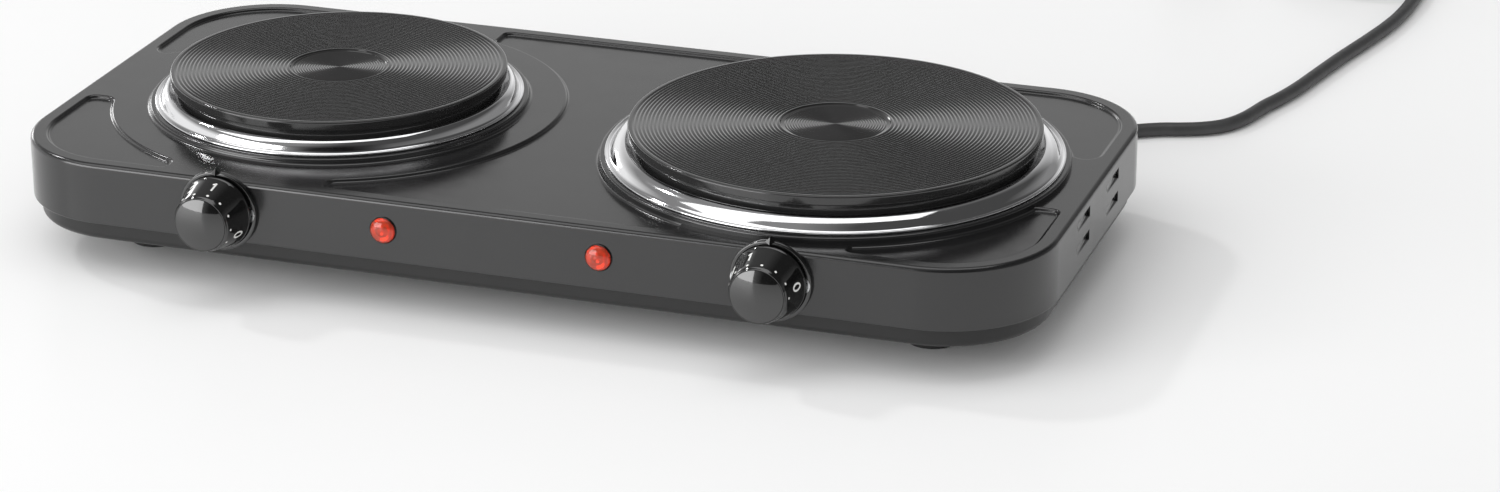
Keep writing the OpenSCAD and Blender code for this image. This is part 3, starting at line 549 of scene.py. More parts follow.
def make_finishes():
    """Every finish by its material slot in the record, and two for printed marks and facets."""
    c = bpy.context.scene.hot_plate_colours
    # Painted shade: the facets get the lens red darkened, a shaded copy of the lens's own colour that
    # makes the lens look darker inside.
    shaded_red = [part * share for part, share in zip(c.lens, (1.0, 0.7, 0.5))]
    # slot: name, tint, roughness, its tone and gloss variation, patch, grain, relief, other sockets
    rows = {
        "housing_paint": ("satin_enamel", c.paint, 0.18, 0.06, 0.03, 25, 1500, 3e-6, {"IOR": 1.66}),
        "pan_paint": ("pan_enamel", c.pan, 0.34, 0.08, 0.05, 40, 1300, 8e-6, {}),
        "zinc_steel": ("zinc_plate", (0.56, 0.57, 0.58), 0.34, 0.12, 0.10, 180, 700, 1e-5, METAL),
        "fastener_steel": ("bright_zinc", (0.63, 0.64, 0.65), 0.27, 0.10, 0.08, 300, 1500, 1e-5,
                           METAL),
        "foot_rubber": ("black_rubber", (0.022, 0.022, 0.022), 0.72, 0.15, 0.08, 200, 1800, 5e-5,
                        {}),
        "cast_iron": ("coated_iron", c.iron, 0.12, 0.10, 0.03, 120, 2600, 5e-6, {"IOR": 1.7}),
        "bright_ring": ("polished_steel", c.ring, 0.075, 0.02, 0.025, 60, 900, 1.5e-6, METAL),
        "ceramic": ("pressed_ceramic", (0.72, 0.67, 0.58), 0.85, 0.08, 0.05, 150, 1400, 8e-5, {}),
        "aluminised_sheet": ("aluminised_sheet", (0.60, 0.60, 0.61), 0.38, 0.08, 0.08, 90, 500,
                             1e-5, {"stretch": (1, 14, 1), **METAL}),
        "thermostat_body": ("moulded_ivory", (0.70, 0.63, 0.50), 0.55, 0.06, 0.06, 120, 1500, 3e-5,
                            {}),
        "knob_plastic": ("gloss_black", c.knob, 0.06, 0.1, 0.015, 90, 1100, 2e-6, {"IOR": 1.85}),
        "shaft_steel": ("turned_steel", (0.60, 0.60, 0.62), 0.24, 0.08, 0.08, 260, 1600, 1e-5,
                        {"stretch": (1, 30, 1), **METAL}),
        "lens_red": ("red_lens", c.lens, 0.04, 0.04, 0.01, 150, 900, 3e-6,
                     {"IOR": 1.55, "Transmission_Weight": 0.8}),
        "lamp_holder": ("moulded_white", (0.78, 0.75, 0.67), 0.5, 0.05, 0.05, 150, 1200, 2e-5, {}),
        "clamp_plastic": ("moulded_grey", (0.06, 0.06, 0.06), 0.55, 0.1, 0.06, 150, 1400, 3e-5, {}),
        "brass": ("brass", (0.73, 0.55, 0.26), 0.26, 0.08, 0.08, 200, 1200, 1e-5, METAL),
        "plug_pin": ("nickel", (0.76, 0.74, 0.71), 0.16, 0.05, 0.06, 200, 1500, 5e-6, METAL),
        "wire_live": ("brown_sleeve", (0.23, 0.10, 0.05), 0.5, 0.12, 0.06, 200, 1800, 3e-5, {}),
        "wire_neutral": ("blue_sleeve", (0.08, 0.22, 0.52), 0.5, 0.12, 0.06, 200, 1800, 3e-5, {}),
        "wire_earth": ("green_sleeve", (0.22, 0.42, 0.10), 0.5, 0.12, 0.06, 200, 1800, 3e-5, {}),
        "cord_sheath": ("cord_sheath", c.cord, 0.46, 0.12, 0.06, 160, 1500, 3e-5, {}),
        "plug_plastic": ("moulded_black", (0.024, 0.024, 0.025), 0.44, 0.12, 0.07, 160, 2000, 4e-5,
                         {}),
        "print": ("white_print", c.marks, 0.45, 0.04, 0.05, 300, 2000, 1e-5, {}),
        "facets": ("red_facets", shaded_red, 0.14, 0.2, 0.05, 200, 1200, 4e-6, {"Metallic": 0.7}),
    }
    return {slot: finish(*row[:-1], **row[-1]) for slot, row in rows.items()}


def finish_of(name):
    """The finish of a record slot or a detail."""
    if not FINISHES:
        FINISHES.update(make_finishes())
    return FINISHES[name]


# ---------------------------------------------------------------- pieces


class HOTPLATE_OT_camera(Operator):
    """Set up the camera"""

    bl_idname = "hot_plate.camera"
    bl_label = "Camera"

    def execute(self, context):
        data = bpy.data.cameras.new("camera")
        data.sensor_width = 36.0
        data.lens = CAMERA_LENS
        camera = bpy.data.objects.new("camera", data)
        camera.location = CAMERA_AT
        way = Vector(CAMERA_TARGET) - Vector(CAMERA_AT)
        camera.rotation_euler = way.to_track_quat("-Z", "Y").to_euler()
        context.scene.collection.objects.link(camera)
        context.scene.camera = camera
        return {"FINISHED"}


class HOTPLATE_OT_cord(Operator):
    """Lay the mains cord, with its strain relief and its plug"""

    bl_idname = "hot_plate.cord"
    bl_label = "Cord"

    def execute(self, context):
        diameter = context.scene.hot_plate_sizes.cord_diameter
        line = [p * MM for p in cord_line(diameter / MM)]
        data = bpy.data.curves.new("mains_cord", "CURVE")
        data.dimensions = "3D"
        data.bevel_depth = diameter / 2
        data.bevel_resolution = 4
        data.use_fill_caps = True
        spline = data.splines.new("POLY")
        spline.points.add(len(line) - 1)
        for point, at in zip(spline.points, line):
            point.co = (*at, 1.0)
        spline.use_smooth = True
        cord = add_piece("mains_cord", data, "housing", "cord_sheath", "power_cord", "cord_coil",
                         "cord_tail")
        with_pieces = [self.relief()] + [frame["nodes"][n] for n in
                                         ("inner_cord", "cord_tie", "plug_pins",
                                          "plug_earth_clips")]
        with_pieces + [self.plug()]
        return {"FINISHED"}

    def relief(self):
        """Tapered sleeve with slots, snapped into the back wall."""
        inner = Box("inner_cord")
        sleeve = Box("strain_relief")
        inner_y, tip_y, wall_y = sleeve.low.y, sleeve.high.y, HOUSING.high.y
        bush_r, sleeve_r, taper = 8.3, 6.5, 1.7
        profile = [(inner.radius, inner_y), (8.0, inner_y + 0.01), (bush_r, inner_y + 0.5),
                   (bush_r, wall_y - 1), (CORD_HOLE_R, wall_y - 1), (CORD_HOLE_R, wall_y),
                   *arc((8.7, wall_y + 0.8), 0.8, -60, 0, 3),
                   *arc((7.7, wall_y + 0.7), 1.8, 0, 90, 5), (6.7, wall_y + 2.6)]
        rings, solid = 7, 0.68  # the share of a ring's pitch that isn't slot
        start, end = wall_y + 4.0, tip_y - 2.5
        for k in range(rings):
            y0, y1, y2 = (start + (end - start) * (k + s) / rings for s in (0, solid, 1))
            r0, r1 = (sleeve_r - taper * (k + s) / rings for s in (0, solid))
            profile += [(r0 - 0.15, y0), (r0, y0 + 0.2), (r1, y1 - 0.2), (r1 - 0.15, y1),
                        (r1 - 1.0, y1 + 0.05), (r1 - 1.05, y2 - 0.05)]
        profile += [(4.75, end + 0.1), (4.6, tip_y - 0.4), (4.2, tip_y), (inner.radius, tip_y)]
        sheet = Sheet()
        lathe(sheet, profile, facing_back(inner.x, inner.z), 48)
        return sheet.piece("strain_sleeve", "housing", "plug_plastic", "strain_relief")

    def plug(self):
        """Round two-pin plug lying on its side, with finger grips."""
        box = Box("plug_body")
        back, face = -box.high.x, -box.low.x
        radius = (box.high.z - box.low.z) / 2
        profile = [(0, back), (4.2, back), (4.7, back + 0.5)]
        for k in range(5):
            at = back + 2 + 3.6 * k
            r = 4.8 + 0.3 * k
            profile += [(r, at), (r + 0.05, at + 2.3), (r - 0.8, at + 2.5), (r - 0.75, at + 3.4)]
        profile += [(r, back + h) for r, h in ((6.6, 20.4), (8.2, 23), (11.2, 27), (13.4, 31),
                                               (14.6, 36), (15.2, 42), (15.6, 47.5), (16.2, 49.2))]
        profile += arc((radius - 1.2, back + 51.4), 1.2, -90, 0, 4)
        profile += arc((radius - 0.8, face - 0.8), 0.8, 0, 90, 4)
        profile += [(radius - 2.2, face), (radius - 2.6, face - 0.6), (0, face - 0.6)]

        def grip(a, r, h):
            share = ease((h - back - 26) / 4) * ease((back + 47 - h) / 3)
            return -0.5 * share * (0.5 + 0.5 * math.cos(24 * a)) if r > 9 else 0.0

        sheet = Sheet()
        lathe(sheet, profile, facing_left(box.y, box.z), 144, closed=False, wave=grip)
        return sheet.piece("plug_shell", "housing", "plug_plastic", "plug_body")


class HOTPLATE_OT_housing(Operator):
    """Press the housing's top and side walls"""

    bl_idname = "hot_plate.housing"
    bl_label = "Housing"

    def execute(self, context):
        sizes = context.scene.hot_plate_sizes
        sheet = Sheet(SHEET_T)
        fold = sizes.fold_radius / MM
        self.walls(sheet, sizes, SEAM_Z + HEM_R, TOP_Z - fold)
        upper = turned_in(0.0, fold, TOP_Z - fold, UP)
        sheet.strip(upper)
        lower = turned_in(0.0, HEM_R, SEAM_Z + HEM_R, -UP)[:HEM_ROWS]
        sheet.strip(lower)
        sheet.rim(lower[-1], -UP)
        self.top(sheet, sizes, [p for p, n in upper[-1]])
        for side in SIDES:
            sheet.join(self.collar(side))
        sheet.piece("housing_shell", "housing", "housing_paint", "top_housing")
        return {"FINISHED"}

    def walls(self, sheet, sizes, low, high):
        """Side walls with their louvres and holes; the corners are plain."""
        parts = outline(0.0)
        for part in parts:
            sheet.strip([[(p + UP * z, n) for p, n in part] for z in (low, high)], closed=False)
        for part, following in zip(parts, parts[1:] + parts[:1]):
            (start, normal), end = part[-1], following[0][0]
            loops = [[start + UP * low, end + UP * low, end + UP * high, start + UP * high]]
            if abs(normal.x) > 0.5:
                loops += [self.louvre(sheet, sizes, normal, MIDDLE_Y + y, TOP_Z + z)
                          for y, z in LOUVRE_AT]
            for x, z, r in self.holes(normal):
                at = facing_front(x, z)
                loop = [at(r, 2 * math.pi * k / 32, -start.y) for k in range(32)]
                loops.append(sheet.hole(at(0, 0, -start.y), loop, normal))
            sheet.fill(normal, loops)

    def holes(self, normal):
        """Places and radii of a wall's holes: shafts and lamps in front, the cord behind."""
        if normal.y > 0.5:
            cord = Box("inner_cord")
            return [(cord.x, cord.z, CORD_HOLE_R)]
        if normal.y > -0.5:
            return []
        holes = []
        for node, clearance in (("shaft", 1.0), ("lamp", 0.1)):
            for side in SIDES:
                box = Box(f"{side}_{node}")
                holes.append((box.x, box.z, (box.high.z - box.low.z) / 2 + clearance))
        return holes

    def louvre(self, sheet, sizes, normal, y, z):
        """A flap pressed in towards its open rear end. Gives its outline in the wall."""
        long, height = sizes.louvre_length / MM, sizes.louvre_height / MM
        depth = sizes.louvre_depth / MM
        wall_x = normal.x * WIDTH / 2

        def sink(u, v):
            edge = ease(min(v, 1 - v) / 0.28)
            return depth * (0.35 * ease(u / 0.18) + 0.65 * u * u) * edge

        def point(u, v, sunk=1):
            return Vector((wall_x - normal.x * sink(u, v) * sunk, y + (u - 0.5) * long,
                           z + (v - 0.5) * height))

        def way(u, v):
            e = 0.01
            du = point(min(u + e, 1), v) - point(max(u - e, 0), v)
            dv = point(u, min(v + e, 1)) - point(u, max(v - e, 0))
            n = du.cross(dv).normalized()
            return n if n.dot(normal) > 0 else -n

        us = [k / 16 for k in range(17)]
        vs = [k / 10 for k in range(11)]
        rows = [[(point(u, v), way(u, v) if 0 < v < 1 and u > 0 else normal) for v in vs]
                for u in us]
        sheet.strip(rows, closed=False)
        sheet.rim(rows[-1], Vector((0, 1, 0)), closed=False)
        lip = [(point(1, v, 0), normal) for v in vs]
        sheet.rim(lip, Vector((0, -1, 0)), closed=False)
        bottom = [row[0][0] for row in rows]
        top = [row[-1][0] for row in reversed(rows)]
        front = [point(0, v, 0) for v in vs[-2:0:-1]]
        return bottom + [p for p, n in lip[1:-1]] + top + front

    def panels(self):
        """Outlines of the five pressed panels."""
        plates = {side: plate_place(side) for side in SIDES}
        half_w, half_d = WIDTH / 2 - PANEL_MARGIN, DEPTH / 2 - PANEL_MARGIN
        corner_r = CORNER_R - PANEL_MARGIN

        def border(x, y):
            dx, dy = abs(x) - half_w + corner_r, abs(y - MIDDLE_Y) - half_d + corner_r
            return math.hypot(max(dx, 0), max(dy, 0)) + min(max(dx, dy), 0) - corner_r

        def clear_of(side, x, y):
            place_x, place_y, _, collar_r = plates[side]
            return collar_r + PANEL_TO_COLLAR[side] - math.hypot(x - place_x, y - place_y)

        def corner(side, sx, sy):
            place_x, place_y = plates[side][:2]

            def distance(x, y):
                d = both(border(x, y), clear_of(side, x, y), PANEL_ROUND)
                d = both(d, PANEL_FRONT_GAP - (x - place_x) * sx, PANEL_ROUND)
                return both(d, PANEL_SIDE_GAP - (y - place_y) * sy, 9.0 if sy > 0 else 4.0)

            return distance

        def middle(x, y):
            d = both(border(x, y), clear_of("left", x, y), PANEL_ROUND)
            d = both(d, clear_of("right", x, y), PANEL_ROUND)
            d = both(d, plates["left"][0] + PANEL_FRONT_GAP - x, PANEL_ROUND)
            return both(d, x - plates["right"][0] + PANEL_FRONT_GAP, PANEL_ROUND)

        lines = [trace(middle, (0, MIDDLE_Y + half_d))]
        for side, sx in zip(SIDES, (-1, 1)):
            for sy in (-1, 1):
                start = (sx * half_w, MIDDLE_Y + sy * (half_d - corner_r + 2))
                lines.append(trace(corner(side, sx, sy), start))
        return lines

    def top(self, sheet, sizes, border):
        """The flat top with its pressed panels, and openings for the plates."""
        radius = sizes.step_radius / MM
        turn = math.acos(1 - PANEL_DEPTH / 2 / radius)
        openings = []
        for side in SIDES:
            x, y, _, collar_r = plate_place(side)
            loop = circle(x, y, collar_r - OPENING_INSET[side], TOP_Z)
            openings.append(sheet.hole(Vector((x, y, TOP_Z)), loop, UP))
        # The step's section: how far out, how far down and how steep, over its crest and its foot
        crest = [turn * k / 6 for k in range(7)]
        step = [(math.sin(turn) - math.sin(a), 1 - math.cos(a), a) for a in crest]
        foot = [(-out, PANEL_DEPTH / radius - fall, a) for out, fall, a in step[-2::-1]]
        lands = []
        for line in self.panels():
            rows = [[(p + n * radius * out + UP * (TOP_Z - radius * fall),
                      UP * math.cos(a) - n * math.sin(a)) for p, n in line]
                    for out, fall, a in step + foot]
            sheet.strip(rows)
            sheet.fill(UP, [[p for p, n in rows[-1]]])
            lands.append([p for p, n in rows[0]])
        sheet.fill(UP, [border] + lands + openings)

    def collar(self, side):
        """Raised collar that the trim ring stands on."""
        x, y, ring_r, r = plate_place(side)
        foot = TOP_Z if side == "left" else TOP_Z - PANEL_DEPTH
        seat_r = ring_r - 6.0
        profile = [*arc((r + 1.6, foot + 1.6), 1.6, 270, 180, 6),
                   *arc((r - 1.1, COLLAR_Z - 1.1), 1.1, 0, 90, 6),
                   *moved(seat_r, COLLAR_Z, (0.4, 0), (0, -0.4), (0, -SHEET_T)),
                   *moved(r, COLLAR_Z, (-1.3, -SHEET_T), (-SHEET_T, -1.4)),
                   *moved(r, foot, (-SHEET_T, 0.6), (0, -0.6), (1.6, -0.8))]
        collar = Sheet()
        lathe(collar, profile, upright(x, y), 160)
        return collar


def plate_place(side):
    """A plate's centre, its trim ring's radius and its collar's."""
    ring = Box(f"{side}_trim_ring")
    return ring.x, ring.y, ring.radius, ring.radius + 2.5


class HOTPLATE_OT_pan(Operator):
    """Press the base pan"""

    bl_idname = "hot_plate.pan"
    bl_label = "Base pan"

    def execute(self, context):
        sheet = Sheet(SHEET_T)
        inset = WIDTH / 2 - PAN.high.x
        rows = [[(p + UP * PAN.high.z, n) for part in outline(inset) for p, n in part]]
        rows += turned_in(inset, PAN_EDGE_R, PAN.low.z + PAN_EDGE_R, -UP)
        sheet.strip(rows)
        sheet.rim(rows[0], UP)
        holes = []
        for node in ("foot_screws", "base_screws"):
            for x, y in screw_places(node):
                loop = circle(x, y, SCREW_HOLE_R, PAN.low.z, 24)
                holes.append(sheet.hole(Vector((x, y, PAN.low.z)), loop, -UP))
        sheet.fill(-UP, [[p for p, n in rows[-1]]] + holes)
        sheet.piece("base_pan_shell", "housing", "pan_paint", "base_pan")
        return {"FINISHED"}


def screw_places(node):
    """The four corners that a node's screws stand in."""
    box, r = Box(node), SCREW_HEAD_R
    return [(x, y) for x in (box.low.x + r, box.high.x - r) for y in (box.low.y + r, box.high.y - r)]


class HOTPLATE_OT_plates(Operator):
    """Turn the two cast-iron plates with their grooves"""

    bl_idname = "hot_plate.plates"
    bl_label = "Plates"

    def execute(self, context):
        sizes = context.scene.hot_plate_sizes
        for side in SIDES:
            self.plate(side, sizes.groove_pitch / MM, sizes.groove_depth / MM)
        return {"FINISHED"}

    def plate(self, side, pitch, depth):
        """A recess with fine turning marks, the grooves, a rim and a hollow underside."""
        box = Box(f"{side}_hotplate")
        radius, top, bottom = box.radius, box.high.z, box.low.z
        recess, recess_z = RECESS_R[side], top - 0.75
        fine = 1.2  # between the recess's turning marks
        profile = [(0, recess_z - 0.2)]
        r = 0.6
        while r < recess - 1.4:
            profile += [(r, recess_z), (r + fine * 0.5, recess_z - 0.22)]
            r += fine
        profile += [(recess - 0.7, recess_z), (recess - 0.15, recess_z + 0.1)]
        profile += [(recess + 0.25, top - 0.1), (recess + 0.55, top)]
        grooved = radius - 1.9 - recess - 0.8
        grooves = int(grooved / pitch)
        pitch = grooved / grooves
        for k in range(grooves):
            r = recess + 0.8 + k * pitch
            profile += [(r + pitch * 0.06, top), (r + pitch * 0.5, top - depth),
                        (r + pitch * 0.94, top)]
        edge_z, ceiling_z = top - 4.4, top - 6
        skirt_r, hollow_r, hub_r, bore_r = radius - 2, radius - 7, 14, 3
        profile += [(radius - 1.7, top), *arc((radius - 0.8, top - 0.8), 0.8, 80, 10, 4),
                    (radius, top - 1.2), (radius, edge_z + 0.8),
                    *arc((radius - 0.5, edge_z + 0.5), 0.5, 0, -90, 3),
                    (skirt_r, edge_z), (skirt_r, bottom), (hollow_r, bottom),
                    (hollow_r, ceiling_z), (hub_r, ceiling_z), (hub_r, bottom), (bore_r, bottom),
                    (bore_r, ceiling_z - 1), (0, ceiling_z - 1)]
        sheet = Sheet()
        lathe(sheet, profile[::-1], upright(box.x, box.y), 224, closed=False, sharp=30)
        sheet.piece(f"{side}_cooking_plate", "housing", "cast_iron", f"{side}_hotplate")


class HOTPLATE_OT_rings(Operator):
    """Spin the two polished trim rings"""

    bl_idname = "hot_plate.rings"
    bl_label = "Trim rings"

    def execute(self, context):
        for side in SIDES:
            self.ring(side)
        return {"FINISHED"}

    def ring(self, side):
        """A beaded foot, an arched slope, a crown and a lip under the plate."""
        box = Box(f"{side}_trim_ring")
        outer, seat, crown = box.radius, box.low.z, box.high.z
        plate_r = Box(f"{side}_hotplate").radius
        inner, crown_r, shoulder = plate_r - 2.0, plate_r + 1.6, outer - 2.6
        arch = [(shoulder - (shoulder - crown_r) * share, seat + (crown - seat) * height)
                for share, height in RING_ARCH]
        profile = [(shoulder - 1.2, seat), (outer - 0.4, seat),
                   *arc((outer - 0.62, seat + 0.62), 0.62, -60, 90, 6),
                   *moved(outer, seat, (-1.25, 1.0), (-1.7, 0.72), (-2.1, 0.85)),
                   (shoulder, seat + 1.35), *arch,
                   *moved(crown_r, crown, (0, -0.05), (-0.5, 0), (-0.9, -0.35), (-1.1, -1.5)),
                   *moved(inner, crown, (0, -2.6), (0, -3.2)),
                   *moved(crown_r, crown, (-0.7, -2.2), (-0.4, -0.9)),
                   *moved(-0.4, -0.7, *reversed(arch))]
        sheet = Sheet()
        lathe(sheet, profile, upright(box.x, box.y), 224, sharp=60)
        sheet.piece(f"{side}_bright_ring", "housing", "bright_ring", f"{side}_trim_ring")


class HOTPLATE_OT_knobs(Operator):
    """Mould the knobs with their numbers, and the bezels behind them"""

    bl_idname = "hot_plate.knobs"
    bl_label = "Knobs"

    def execute(self, context):
        for side in SIDES:
            box = Box(f"{side}_knob")
            at = facing_front(box.x, KNOB_AXIS_Z)
            self.knob(context.scene.hot_plate_sizes, side, at, box)
            self.bezel(side, at)
        return {"FINISHED"}

    def knob(self, sizes, side, at, box):
        """Deep cone with a ribbed grip at its front and a domed face."""
        back, face, rim_r = -box.high.y, -box.low.y, box.radius
        grip, face_r = face - 3.2, rim_r - 4.2
        dome = 2.3
        cone = ((rim_r - 0.45, back + 1.6), (face_r + 0.75, grip - 0.5))
        (foot_r, foot_h), (neck_r, neck_h) = cone
        profile = moved(rim_r, back, (-5, 5), (-1.5, 0), (-0.35, 0), (0, 0.35), (0, 1.0), (-0.2, 1.3))
        profile += [(foot_r + (neck_r - foot_r) * k / 8, foot_h + (neck_h - foot_h) * k / 8)
                    for k in range(9)]
        profile += moved(face_r, grip, (0.45, 0), (0.2, 0.3))
        profile += moved(face_r, face - dome, (0.15, -0.2), (-0.05, 0.1), (-0.3, 0.1), (-0.4, -0.1))
        radii = [(face_r - 0.5) * (1 - k / 10) for k in range(10)]
        profile += [(r, face - dome * (r / face_r) ** 2) for r in radii] + [(0, face)]
        depth = sizes.flute_depth / MM

        def ribs(a, r, h):
            share = ease((h - grip + 5) / 5) if r > face_r + 0.1 else 0.0
            low = ease((-math.sin(a) - 0.35) / 0.3)
            return -depth * share * low * abs(math.cos(sizes.flutes * a / 2)) ** 1.6

        sheet = Sheet()
        lathe(sheet, profile, at, 192, closed=False, wave=ribs)
        hollow = [(0, face - 4.4), (rim_r - 6.4, face - 4.4), (rim_r - 5, back + 5)]
        lathe(sheet, hollow, at, 192, closed=False)
        lathe(sheet, [(3.3, back + 3), (6.4, back + 3), (6.4, face - 4), (3.3, face - 4)], at, 48)
        sheet.piece(f"{side}_dial_knob", f"{side}_dial", "knob_plastic", f"{side}_knob")
        self.marks(side, at, cone, sizes.numeral_height / MM / 1.4)

    def marks(self, side, at, cone, height):
        """Numbers and dots printed on the cone, their tops outward."""
        (rim_r, rim_h), (grip_r, grip_h) = cone
        reach = math.hypot(grip_r - rim_r, grip_h - rim_h)
        slope = ((grip_r - rim_r) / reach, (grip_h - rim_h) / reach)
        points, faces = [], []

        def on_cone(angle, across, down, lift):
            """A place `across` to the right and `down` from the rim at a clock angle."""
            r = rim_r + slope[0] * down + slope[1] * lift
            h = rim_h + slope[1] * down - slope[0] * lift
            return at(r, math.radians(90 - angle) - across / r, h)

        def prism(angle, ring):
            """A thin raised shape with the given outline."""
            base, count = len(points), len(ring)
            for lift in (0.07, -0.1):
                points.extend(on_cone(angle, u, v, lift) for u, v in ring)
            faces.append(list(range(base + count - 1, base - 1, -1)))
            faces.append(list(range(base + count, base + 2 * count)))
            for k in range(count):
                n = (k + 1) % count
                faces.append([base + k, base + n, base + count + n, base + count + k])

        def stroke(angle, line, width):
            for (u0, v0), (u1, v1) in zip(line, line[1:]):
                size = math.hypot(u1 - u0, v1 - v0)
                du, dv = (u1 - u0) / size, (v1 - v0) / size
                pieces = max(1, math.ceil(size / 0.8))
                for k in range(pieces):
                    s0, s1 = size * k / pieces - 0.15, size * (k + 1) / pieces + 0.15
                    ring = [(u0 + du * s - dv * side_w, v0 + dv * s + du * side_w)
                            for s, side_w in ((s0, width), (s1, width), (s1, -width), (s0, -width))]
                    prism(angle, ring)

        zero = DIAL_ZERO[side]
        for k in range(DOT_COUNT):
            dot = 0.52 + 0.03 * k
            turns = [t * math.pi / 6 for t in range(12)]
            ring = [(dot * math.cos(t), reach - 1.5 + dot * math.sin(t)) for t in turns]
            prism(zero + 10 - DOT_STEP * k, ring)
        between = (DIAL_TO_LAST - DIAL_TO_ONE) / (len(NUMERALS) - 2)
        for digit, strokes in enumerate(NUMERALS):
            turn = DIAL_TO_ONE + between * (digit - 1) if digit else 0.0
            line = [((u - 0.5) * height * 0.8, 3.0 + (1.4 - v) * height) for u, v in strokes]
            stroke(zero - turn, line, 0.42)
        name = f"{side}_dial_marks"
        mesh = mesh_of(name, points, faces)
        add_piece(name, mesh, f"{side}_dial", "knob_plastic", finish="print")

    def bezel(self, side, at):
        """Disc against the wall, with a raised pointer at the top."""
        box = Box(f"{side}_bezel")
        radius, wall, front = box.radius, -box.high.y, -box.low.y
        profile = [(4, wall), *moved(radius, wall, (-0.5, 0), (-0.1, 0.3), (0, 1.0)),
                   *arc((radius - 0.8, front - 0.8), 0.8, 0, 85, 5),
                   *moved(radius, front, (-1.5, 0), (-1.9, -0.55), (-6, -0.8)), (4, front - 0.8)]
        sheet = Sheet()
        lathe(sheet, profile, at, 128)
        self.pointer(sheet, at, radius, wall, front)
        sheet.piece(f"{side}_bezel_ring", "housing", "knob_plastic", f"{side}_bezel")

    def pointer(self, sheet, at, radius, wall, front):
        """A small wedge on the disc's edge that points outward."""
        top = math.radians(90)
        tip, ridge = at(radius + 1.7, top, front + 0.1), at(radius - 1.4, top, front + 0.9)
        back_tip = at(radius + 1.5, top, wall + 0.1)
        feet = [at(radius - 0.3, math.radians(90 + turn), h) for turn, h in
                ((7, front - 0.2), (7, wall + 0.1), (-7, wall + 0.1), (-7, front - 0.2))]
        inside = at(radius, top, (wall + front) / 2)
        for face in ((tip, feet[0], ridge), (tip, ridge, feet[3]), (tip, back_tip, feet[1], feet[0]),
                     (tip, feet[3], feet[2], back_tip), (feet[1], back_tip, feet[2]),
                     (feet[0], feet[3], ridge)):
            n = (face[1] - face[0]).cross(face[2] - face[0]).normalized()
            centre = sum(face, Vector()) / len(face)
            n = n if n.dot(centre - inside) > 0 else -n
            sheet.add(list(face), [n] * len(face), [tuple(range(len(face)))])


class HOTPLATE_OT_lamps(Operator):
    """Cut the two faceted lamp lenses"""

    bl_idname = "hot_plate.lamps"
    bl_label = "Lamps"

    def execute(self, context):
        for side in SIDES:
            self.lens(side)
        return {"FINISHED"}

    def lens(self, side):
        """A domed lens, a black ring round it that is painted shade where the lens meets the wall,
        and its faceted back.
        """
        box = Box(f"{side}_lamp_lens")
        at = facing_front(box.x, box.z)
        radius, back, wall = box.radius, -box.high.y, -HOUSING.low.y
        lens_r, neck_r, edge = radius - 0.5, 4.4, wall + 0.8
        dome = -box.low.y - edge
        turns = [math.radians(90 * k / 10) for k in range(11)]
        profile = [(0, back), (neck_r, back), (neck_r, wall + 0.1), (lens_r, wall + 0.1)]
        profile += [(lens_r * math.cos(a), edge + dome * math.sin(a)) for a in turns]
        sheet = Sheet()
        lathe(sheet, profile, at, 48, closed=False)
        sheet.piece(f"{side}_lens", "housing", "lens_red", f"{side}_lamp_lens")
        self.facets(side, at, wall, radius)
        # Painted shade: a black ring round the lens stands in for the shadow in the gap round its
        # seat.
        bore = lens_r + 0.02
        profile = [(bore, wall), (radius, wall), (radius, wall + 0.5), (radius - 0.25, wall + 0.85),
                   (bore, wall + 0.7)]
        ring = Sheet()
        lathe(ring, profile, at, 64)
        ring.piece(f"{side}_lens_painted_shade_ring", "housing", "knob_plastic")

    def facets(self, side, at, wall, radius):
        """The lens's faceted back, seen through its dome, in a darkened lens red that is painted
        shade.
        """
        rings = ((radius - 1.0, 0.15, 0.0), (radius - 1.9, 1.1, 0.5), (radius - 3.3, 1.0, 0.0),
                 (radius - 4.6, 1.9, 0.5))
        count = 12
        points = [at(r, 2 * math.pi * (k + turn) / count, wall + h)
                  for r, h, turn in rings for k in range(count)]
        points += [at(0, 0, wall + 1.5), at(0, 0, wall + 0.05)]
        faces = []
        for j, (low, high) in enumerate(zip(rings, rings[1:])):
            for k in range(count):
                a, b = j * count + k, j * count + (k + 1) % count
                c, d = a + count, b + count
                odd = low[2] < high[2]
                faces += [(a, b, c), (b, d, c)] if odd else [(a, b, d), (a, d, c)]
        tip, base = len(points) - 2, len(points) - 1
        last = (len(rings) - 1) * count
        for k in range(count):
            faces.append((last + k, last + (k + 1) % count, tip))
            faces.append(((k + 1) % count, k, base))
        name = f"{side}_lens_facets"
        add_piece(name, mesh_of(name, points, faces), "housing", "lens_red", finish="facets")


class HOTPLATE_OT_fittings(Operator):
    """Give every CAD piece that shows as it is its finish"""

    bl_idname = "hot_plate.fittings"
    bl_label = "Fittings"

    def execute(self, context):
        for part in frame["record"]["subparts"]:
            node = frame["nodes"][part["node"]]
            if not node.material_slots:
                raise RuntimeError(f"{part['node']} has no material slot")
            for material_slot in node.material_slots:
                material_slot.material = finish_of(part["material_slot"])
        return {"FINISHED"}


